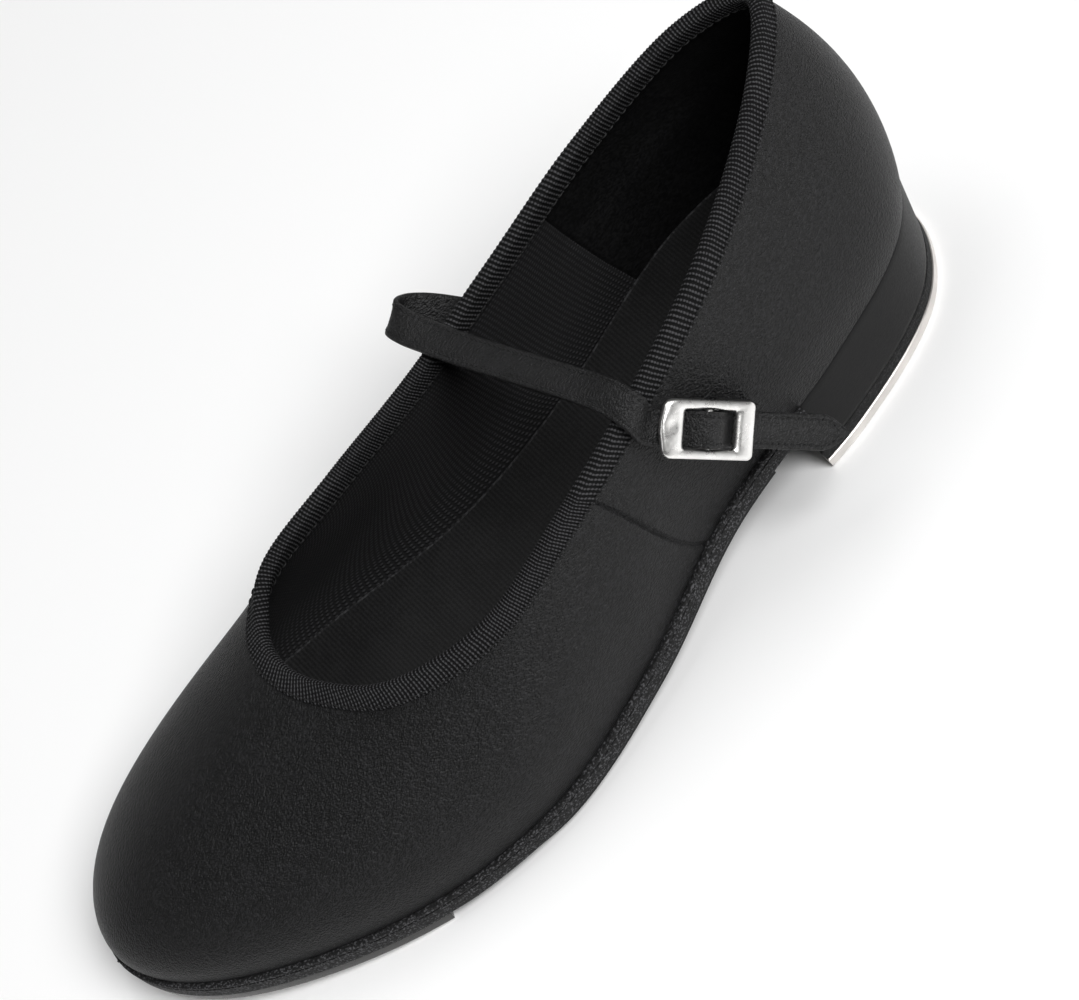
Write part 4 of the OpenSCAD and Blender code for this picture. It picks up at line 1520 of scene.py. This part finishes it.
@dataclass
class Taps:
    """Both metal taps and their cross-slot screws."""

    heel: Heel
    thick: float = 3.0
    head_r: float = 4.0
    screw_r: float = 1.9
    bevel: float = 0.95
    toe_screws: Sequence[tuple[float, float]] = ((196, 25), (198, -30), (235, -10))
    heel_screws: Sequence[tuple[float, float]] = ((48, 20), (48, -18), (14, 0))
    toe_reach: float = 2.28
    toe_out: float = 1.0
    rear_bow: float = 8.5

    def toe_matrix(self) -> Matrix:
        """Returns the move from the toe tap's flat frame to the shoe's."""
        tilt = Matrix.Rotation(-math.atan(LAST.spring), 4, "Y")
        return Matrix.Translation((Vector((LAST.spring_x, 0, 0)) - Vector(HOME)) * MM) @ tilt

    def heel_matrix(self) -> Matrix:
        """Returns the move from the shoe's working plan to the frame."""
        return Matrix.Translation(-Vector(HOME) * MM)

    def toe_plan(self) -> Array:
        """Returns the toe tap's outline in its own flat frame, anticlockwise."""
        u = np.linspace(-self.toe_reach, self.toe_reach, 121)
        line = LAST.outline(u, self.toe_out)
        p, q = line[-1], line[0]
        s = np.linspace(0, 1, 42)[1:-1, None]
        rear = p + (q - p) * s + np.array([[-self.rear_bow * 4, 0]]) * s * (1 - s)
        plan = np.vstack([line, rear])
        cos = math.cos(math.atan(LAST.spring))
        return np.column_stack([(plan[:, 0] - LAST.spring_x) / cos, plan[:, 1]])

    def plate(self, name: str, plan: Array, thick: float, holes: Array,
              place: Matrix, finish: Finish) -> bpy.types.Object:
        """Makes a tap with a polished bevel and recessed screw holes.

        Args:
            name: The piece's name.
            plan: Outline, anticlockwise.
            thick: Thickness.
            holes: Plan centres of the screws.
            place: Move from the tap's frame to the shoe's.
            finish: The tap's metal.

        Returns:
            The tap.
        """
        b = self.bevel
        steps = [(b, 0.0), (b * 0.62, 0.06), (b * 0.28, 0.25), (b * 0.08, 0.5), (0, 0.8),
                 (0, thick - 0.25), (0.22, thick)]
        parts = stacked([inset(plan, d) for d, _ in steps], [z for _, z in steps])
        made = SHOP.shape(name, parts, finish, 50, home=False)
        r, s = self.head_r + 0.6, self.screw_r + 0.3
        bore = turned([(0, -1), (r + 0.5, -1), (r + 0.5, 0), (r + 0.08, 0.3), (r, 0.5), (r, 1.7),
                       (s, 1.7), (s, 6), (0, 6)], 40)
        cuts = join([(bore[0] + np.array([x, y, 0]), bore[1], bore[2]) for x, y in holes])
        SHOP.cut(made, SHOP.shape(name + "_bores", cuts, finish, home=False))
        made.data.transform(place)
        return made

    def screws(self, name: str, holes: Array, length: float, place: Matrix,
               node: str) -> None:
        """Makes one set of pan-head screws, face down, as separate solids of one piece.

        Args:
            name: The piece's name.
            holes: Plan centres of the screws.
            length: Length from face to tip.
            place: Move from the tap's frame to the shoe's.
            node: CAD node that the set replaces.
        """
        h = self.head_r
        head = [(0, 0), (1.2, 0.0), (h - 1.7, 0.05), (h - 0.8, 0.2), (h - 0.25, 0.48), (h, 0.85),
                (h, 1.2), (self.screw_r, 1.3), (self.screw_r, length), (0, length)]
        slot_x = self._slot(2.25, 0.52)
        sets = []
        for k, (x, y) in enumerate(holes):
            turn = Matrix.Rotation(math.radians(20 + 55 * k), 4, "Z")
            one = SHOP.shape(f"{name}_{k}", turned(head, 40), Finish.SCREW, home=False)
            for quarter in (0, 90):
                tool = SHOP.shape("slot", slot_x, Finish.SCREW, home=False)
                tool.data.transform(turn @ Matrix.Rotation(math.radians(quarter), 4, "Z"))
                SHOP.cut(one, tool)
            one.data.transform(place @ Matrix.Translation(Vector((x, y, 0.3)) * MM))
            sets.append(one)
        bpy.ops.object.select_all(action="DESELECT")
        for one in sets:
            one.select_set(True)
        bpy.context.view_layer.objects.active = sets[0]
        bpy.ops.object.join()
        made = sets[0]
        made.name = name
        SHOP.place(made, Finish.SCREW, ROOT, node)

    def _slot(self, long: float, wide: float) -> tuple[Array, list, list]:
        """Makes a tapered slot cutter along x, open at the head's face.

        Args:
            long: Half its length.
            wide: Half its width.

        Returns:
            Points, faces and corner places.
        """
        top = np.array([[-long, -wide], [long, -wide], [long, wide], [-long, wide]])
        low = np.array([[-long * 0.55, -wide * 0.6], [long * 0.55, -wide * 0.6],
                        [long * 0.55, wide * 0.6], [-long * 0.55, wide * 0.6]])
        return stacked([top, low], [-0.5, 1.05])

    def build(self) -> None:
        """Makes both taps and their screws."""
        cos = math.cos(math.atan(LAST.spring))
        toe_holes = [(x - LAST.spring_x, y) for x, y in self.toe_screws]
        toe = self.plate("toe_tap_plate", self.toe_plan(), self.thick * cos, toe_holes,
                         self.toe_matrix(), Finish.TOE_TAP)
        SHOP.place(toe, Finish.TOE_TAP, ROOT, "toe_tap")
        heel = self.plate("heel_tap_plate", self.heel.plan(0.55), self.thick, self.heel_screws,
                          self.heel_matrix(), Finish.TAP)
        SHOP.place(heel, Finish.TAP, ROOT, "heel_tap")
        self.screws("toe_tap_screw_set", toe_holes, 6.0, self.toe_matrix(), "toe_tap_screws")
        self.screws("heel_tap_screw_set", self.heel_screws, 12.0, self.heel_matrix(),
                    "heel_tap_screws")


@dataclass
class Fastening:
    """Strap, buckle and the hidden tab and pads behind the tail."""

    wide: float = 7.6
    thick: float = 1.4
    frame_l: float = 20.5
    frame_w: float = 12.2
    frame_t: float = 2.2
    bar_r: float = 0.85
    bar_w: float = -0.5
    swell: float = 1.0
    centre: Array = field(default_factory=lambda: np.array([75.6, 41.7, 51.3]))
    lie: Array = field(default_factory=lambda: np.array([-0.61, 0.22, -0.76]))
    hinge: Array = field(default_factory=lambda: np.array([91, -32.2, 53.0]))
    tail_mm: float = 33.5

    def __post_init__(self) -> None:
        """Works out the buckle's directions."""
        self.d = unit(self.lie)
        self.v = unit(np.cross(np.cross(self.d, [0.77, 0.39, -0.51]), self.d))
        self.n = np.cross(self.v, self.d)
        self.bend = unit(np.array([0.95, 0.29, -0.55]))

    def spot(self, u: Array, v: Array, w: Array) -> Array:
        """Returns points from places along, across and out of the buckle."""
        u, v, w = (np.asarray(k, float)[..., None] for k in (u, v, w))
        return self.centre + self.d * u + self.v * v + self.n * w

    def strap_path(self) -> tuple[Array, Array]:
        """Returns the strap's middle line and its sideways direction, root end first."""
        under = -(self.frame_t / 2 + 0.8 + self.thick / 2)
        over = self.bar_w + self.bar_r + 0.1 + 0.6 + 0.35 + self.thick / 2
        def on(u: float, t: float, lift: float) -> Array:
            """Returns the strap's middle where it lies on the wall."""
            uu, tt = np.array(u), np.array(t)
            return LAST.wall(uu, tt) + LAST.out(uu, tt) * (self.thick / 2 + lift)
        root = [on(10.93, 0.44, 0.2), on(11.0, 0.495, 0.4), on(11.07, 0.55, 1.1),
                [88, -29.4, 46.6], [90.1, -31.3, 51.2]]
        loop = [[95, -35.2, 57.2], [99.2, -37.2, 61], [102, -35.4, 63.6], [101.8, -30.5, 64],
                [100, -24.2, 63.2], [96.9, -13, 63.2], [91.8, 4, 64.2], [86.9, 20.5, 65.5],
                [84.7, 29.8, 66.7], [83.9, 35.4, 65.0], self.spot(-12.8, 0, under - 0.1)]
        u = np.arange(-9.5, self.tail_mm + 0.01, 0.5)
        rise = np.where(np.abs(u) > 7, under,
                        under + (over - under) * (1 + np.cos(math.pi * u / 7)) / 2)
        lift = 0.5 * smooth(u, 12, 34) ** 2
        tail = self.spot(u, 0 * u, rise + lift)
        before = spline_open([*root, *loop, tail[0], tail[4]], 12)[:-13]
        sewn_out = LAST.out(np.array(10.93), np.array(0.44))
        sewn_side = unit(np.cross(root[1] - root[0], sewn_out))
        path = even(np.vstack([before, tail]), 0.5)
        s = run_length(path)
        def at(q: Sequence[float]) -> float:
            """Returns the length along the path at its point nearest to q."""
            return s[np.argmin(np.linalg.norm(path - np.asarray(q), axis=1))]
        keys = [0, at(root[3]), at(loop[1]), at(loop[4]), at(loop[7]), at(loop[10]), s[-1]]
        flat = unit(np.array([0.95, 0.29, 0.0]))
        values = np.array([sewn_side, self.bend, self.bend, flat, flat, self.v, self.v])
        side = np.stack([np.interp(s, keys, values[:, k]) for k in range(3)], 1)
        d = tangents(path)
        side = unit(side - d * (side * d).sum(1)[:, None])
        return path, side

    def strap(self) -> None:
        """Makes the strap in one length, with a pointed tail and two sewn rows."""
        path, side = self.strap_path()
        d = tangents(path)
        out = np.cross(side, d)
        out *= np.sign((out[-20] * self.n).sum())
        s = run_length(path)
        left = s[-1] - s
        half = self.wide / 2 * np.clip(np.where(left > 6, 1, np.sin(
            np.radians(90 * (0.10 + 0.9 * np.minimum(left, 6) / 6)))), 0, 1)
        h = self.thick / 2
        loop = [(-1, -0.55), (-0.93, -0.95), (-0.72, -1), (0, -1), (0.72, -1), (0.93, -0.95),
                (1, -0.55), (1.0, 0.35), (0.97, 0.75), (0.9, 0.97), (0.8, 1.0), (0.72, 0.86),
                (0.64, 0.97), (0.3, 1.06), (-0.3, 1.06), (-0.64, 0.97), (-0.72, 0.86),
                (-0.8, 1.0), (-0.9, 0.97), (-0.97, 0.75), (-1, 0.35), (-1.01, 0)]
        cols = [path + side * (a * half)[:, None] + out * (b * h) for a, b in loop]
        strap = SHOP.shape("strap_band", Lattice(np.stack(cols, 1), ring_cols=True,
                                                 ladder=True).build(), Finish.STRAP, 60)
        rows = []
        sew = Stitching(1.0, 0.42, 0.18, 0.03)
        inside = s < s[-1] - 3.2
        for a in (-0.72, 0.72):
            rows.append(sew.row((path + side * (a * half)[:, None] + out * (h * 0.9))[inside],
                                out[inside]))
        p = path[inside][-1]
        tip = np.array([p + side[inside][-1] * (a * 0.72 * half[inside][-1]) * k
                        + d[inside][-1] * (1 - k) * 1.9 + out[inside][-1] * h * 0.9
                        for a, k in ((-1, 1), (-1, 0.5), (-1, 0), (1, 0.5), (1, 1))])
        rows.append(sew.row(tip, np.repeat(out[inside][-1:], len(tip), 0)))
        stitches = SHOP.shape("strap_stitches", join(rows), Finish.THREAD)
        lean = unit(np.array([0, 0.35, 0.94]))
        start, end = ((self.hinge + lean * k - HOME) * MM for k in (-3.0, 5.0))
        for piece, finish, nodes in ((strap, Finish.STRAP, ("strap", "strap_root")),
                                     (stitches, Finish.THREAD, ())):
            tuple(start)
            tuple(end)
            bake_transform(piece)
            finish.slot
            if nodes:
                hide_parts(*nodes)
            LOG.info("%s bends from %s to %s", piece.name, ROOT, STRAP)

    def corner(self, x: float, y: float, r: float, start: float,
               n: int = 7) -> list[tuple[float, float]]:
        """Returns a quarter arc of n points about a corner's centre."""
        return [(x + r * math.cos(math.radians(start + 90 * k / (n - 1))),
                 y + r * math.sin(math.radians(start + 90 * k / (n - 1)))) for k in range(n)]

    def rounded(self, x0: float, x1: float, y0: float, y1: float, r: float,
                left_r: float | None = None) -> Array:
        """Draws a rounded rectangle with a set number of points on each arc and edge.

        Args:
            x0: Left side.
            x1: Right side.
            y0: Lower side.
            y1: Upper side.
            r: Corner radius.
            left_r: Radius of the left corners, if another.

        Returns:
            The outline, anticlockwise.
        """
        q = r if left_r is None else left_r
        arcs = [self.corner(x1 - r, y1 - r, r, 0), self.corner(x0 + q, y1 - q, q, 90),
                self.corner(x0 + q, y0 + q, q, 180), self.corner(x1 - r, y0 + r, r, 270)]
        out = []
        for k, arc in enumerate(arcs):
            out += arc
            nxt = arcs[(k + 1) % 4][0]
            for s in np.linspace(0, 1, 10)[1:-1]:
                out.append((arc[-1][0] * (1 - s) + nxt[0] * s, arc[-1][1] * (1 - s) + nxt[1] * s))
        return np.array(out)

    def buckle(self) -> None:
        """Makes the cast frame: soft-edged bars, a pointed swell on one and a small dimple."""
        long, wide, high = self.frame_l / 2, self.frame_w / 2, self.frame_t / 2
        outer = self.rounded(-long, long, -wide, wide, 1.3, 1.7)
        inner = self.rounded(-long + 4.3, long - 4.4, -wide + 2.05, wide - 2.05, 0.7)
        outer[:, 0] -= self.swell * np.clip(1.2 - np.abs(outer[:, 1] + 0.4) / 5.2, 0, 1) * (
            outer[:, 0] < -long + 0.9)
        rings = []
        for q in np.arange(18) * 2 * math.pi / 18:
            c, s = math.cos(q), math.sin(q)
            f = 0.5 * (1 + np.sign(c) * abs(c) ** 0.62)
            plan = inner * (1 - f) + outer * f
            top = np.sign(s) * abs(s) ** 0.62 * high
            dip = 0.0
            if s > 0:
                flat = smooth(-np.abs(plan[:, 1]), -4.4, -3.4)
                dip = (0.5 * bell(plan[:, 0], -long + 1.4, 1.1) * bell(plan[:, 1], -0.6, 1.3)
                       + 0.12 * bell(plan[:, 0], long - 1.7, 0.7) * flat)
            rings.append(self.spot(plan[:, 0], plan[:, 1], top - dip))
        piece = SHOP.shape("buckle_cast_frame", Lattice(np.stack(rings, 1), ring_rows=True,
                                                        ring_cols=True).build(), Finish.NICKEL, 60)
        SHOP.place(piece, Finish.NICKEL, BUCKLE, "buckle_frame")
        end = self.frame_w / 2 - 0.65
        r = self.bar_r
        profile = [(0, -end), (r * 0.8, -end), (r, -end + 0.2), (r, end - 0.2), (r * 0.8, end),
                   (0, end)]
        p, faces, places = turned(profile, 20)
        p = self.spot(p[:, 0], p[:, 2], self.bar_w + p[:, 1])
        bar = SHOP.shape("buckle_centre_bar", (p, faces, places), Finish.NICKEL)
        SHOP.place(bar, Finish.NICKEL, BUCKLE, "buckle_bar")

    def build(self) -> None:
        """Makes the strap and buckle and dresses the tab and pads."""
        self.strap()
        self.buckle()
        SHOP.dress("buckle_tab", Finish.STRAP)
        SHOP.dress("hook_pad", Finish.TOUCH)
        SHOP.dress("loop_pad", Finish.TOUCH)


@dataclass
class Studio:
    """Pale floor, soft lights and the camera."""

    eye: tuple[float, float, float] = (-0.00667, 0.45772, 0.53316)
    aim: tuple[float, float, float] = (-0.01358, 0.00465, 0.035)
    roll_deg: float = -46.2
    lens: float = 104.8
    floor_size: float = 6.0
    sky: float = 0.12
    lamps: Sequence[tuple[str, tuple[float, float, float], float, float]] = (
        ("over", (-0.1, -0.5, 1.7), 10, 1.3),
        ("toe_side", (1.2, -0.1, 1.1), 2, 0.9),
        ("outer_side", (-0.55, 1.1, 1.4), 35, 0.9))

    def camera(self) -> None:
        """Sets the camera above the outer side, rolled as the shoe is shown."""
        data = bpy.data.cameras.new("camera")
        data.lens, data.sensor_width, data.clip_end = self.lens, 36.0, 50
        made = bpy.data.objects.new("camera", data)
        look = (Vector(self.aim) - Vector(self.eye)).to_track_quat("-Z", "Y").to_matrix().to_4x4()
        made.matrix_world = (Matrix.Translation(self.eye) @ look
                             @ Matrix.Rotation(math.radians(self.roll_deg), 4, "Z"))
        bpy.context.scene.collection.objects.link(made)
        bpy.context.scene.camera = made

    def light(self, name: str, at: Sequence[float], power: float, size: float) -> None:
        """Hangs one square soft light that faces the shoe.

        Args:
            name: The light's name.
            at: Its place.
            power: Its power in watts.
            size: Its side.
        """
        data = bpy.data.lights.new(name, "AREA")
        data.energy, data.size = power, size
        made = bpy.data.objects.new(name, data)
        made.location = at
        made.rotation_euler = (Vector((0, 0, 0.03)) - Vector(at)).to_track_quat("-Z", "Y").to_euler()
        bpy.context.scene.collection.objects.link(made)

    def floor(self) -> None:
        """Lays the floor under the taps."""
        h = self.floor_size / 2
        mesh = bpy.data.meshes.new("floor")
        mesh.from_pydata([(-h, -h, 0), (h, -h, 0), (h, h, 0), (-h, h, 0)], [], [(0, 1, 2, 3)])
        mesh.materials.append(Ground().build())
        made = bpy.data.objects.new("floor", mesh)
        bpy.context.scene.collection.objects.link(made)

    def build(self) -> None:
        """Sets up the whole studio."""
        self.camera()
        self.floor()
        world = bpy.data.worlds.new("studio")
        world.use_nodes = True
        back = world.node_tree.nodes["Background"].inputs
        back[0].default_value, back[1].default_value = (1, 1, 1, 1), self.sky
        bpy.context.scene.world = world
        bpy.context.scene.view_settings.view_transform = "Standard"
        for name, at, power, size in self.lamps:
            self.light(name, at, power, size)


def main() -> None:
    """Builds the studio and the shoe's sub-assemblies in order."""
    logging.basicConfig(level=logging.INFO, format="%(message)s")
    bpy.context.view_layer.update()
    Studio().build()
    Upper().build()
    Bottom().build()
    heel = Heel()
    heel.build()
    Taps(heel).build()
    Fastening().build()


if __name__ == "__main__":
    main()
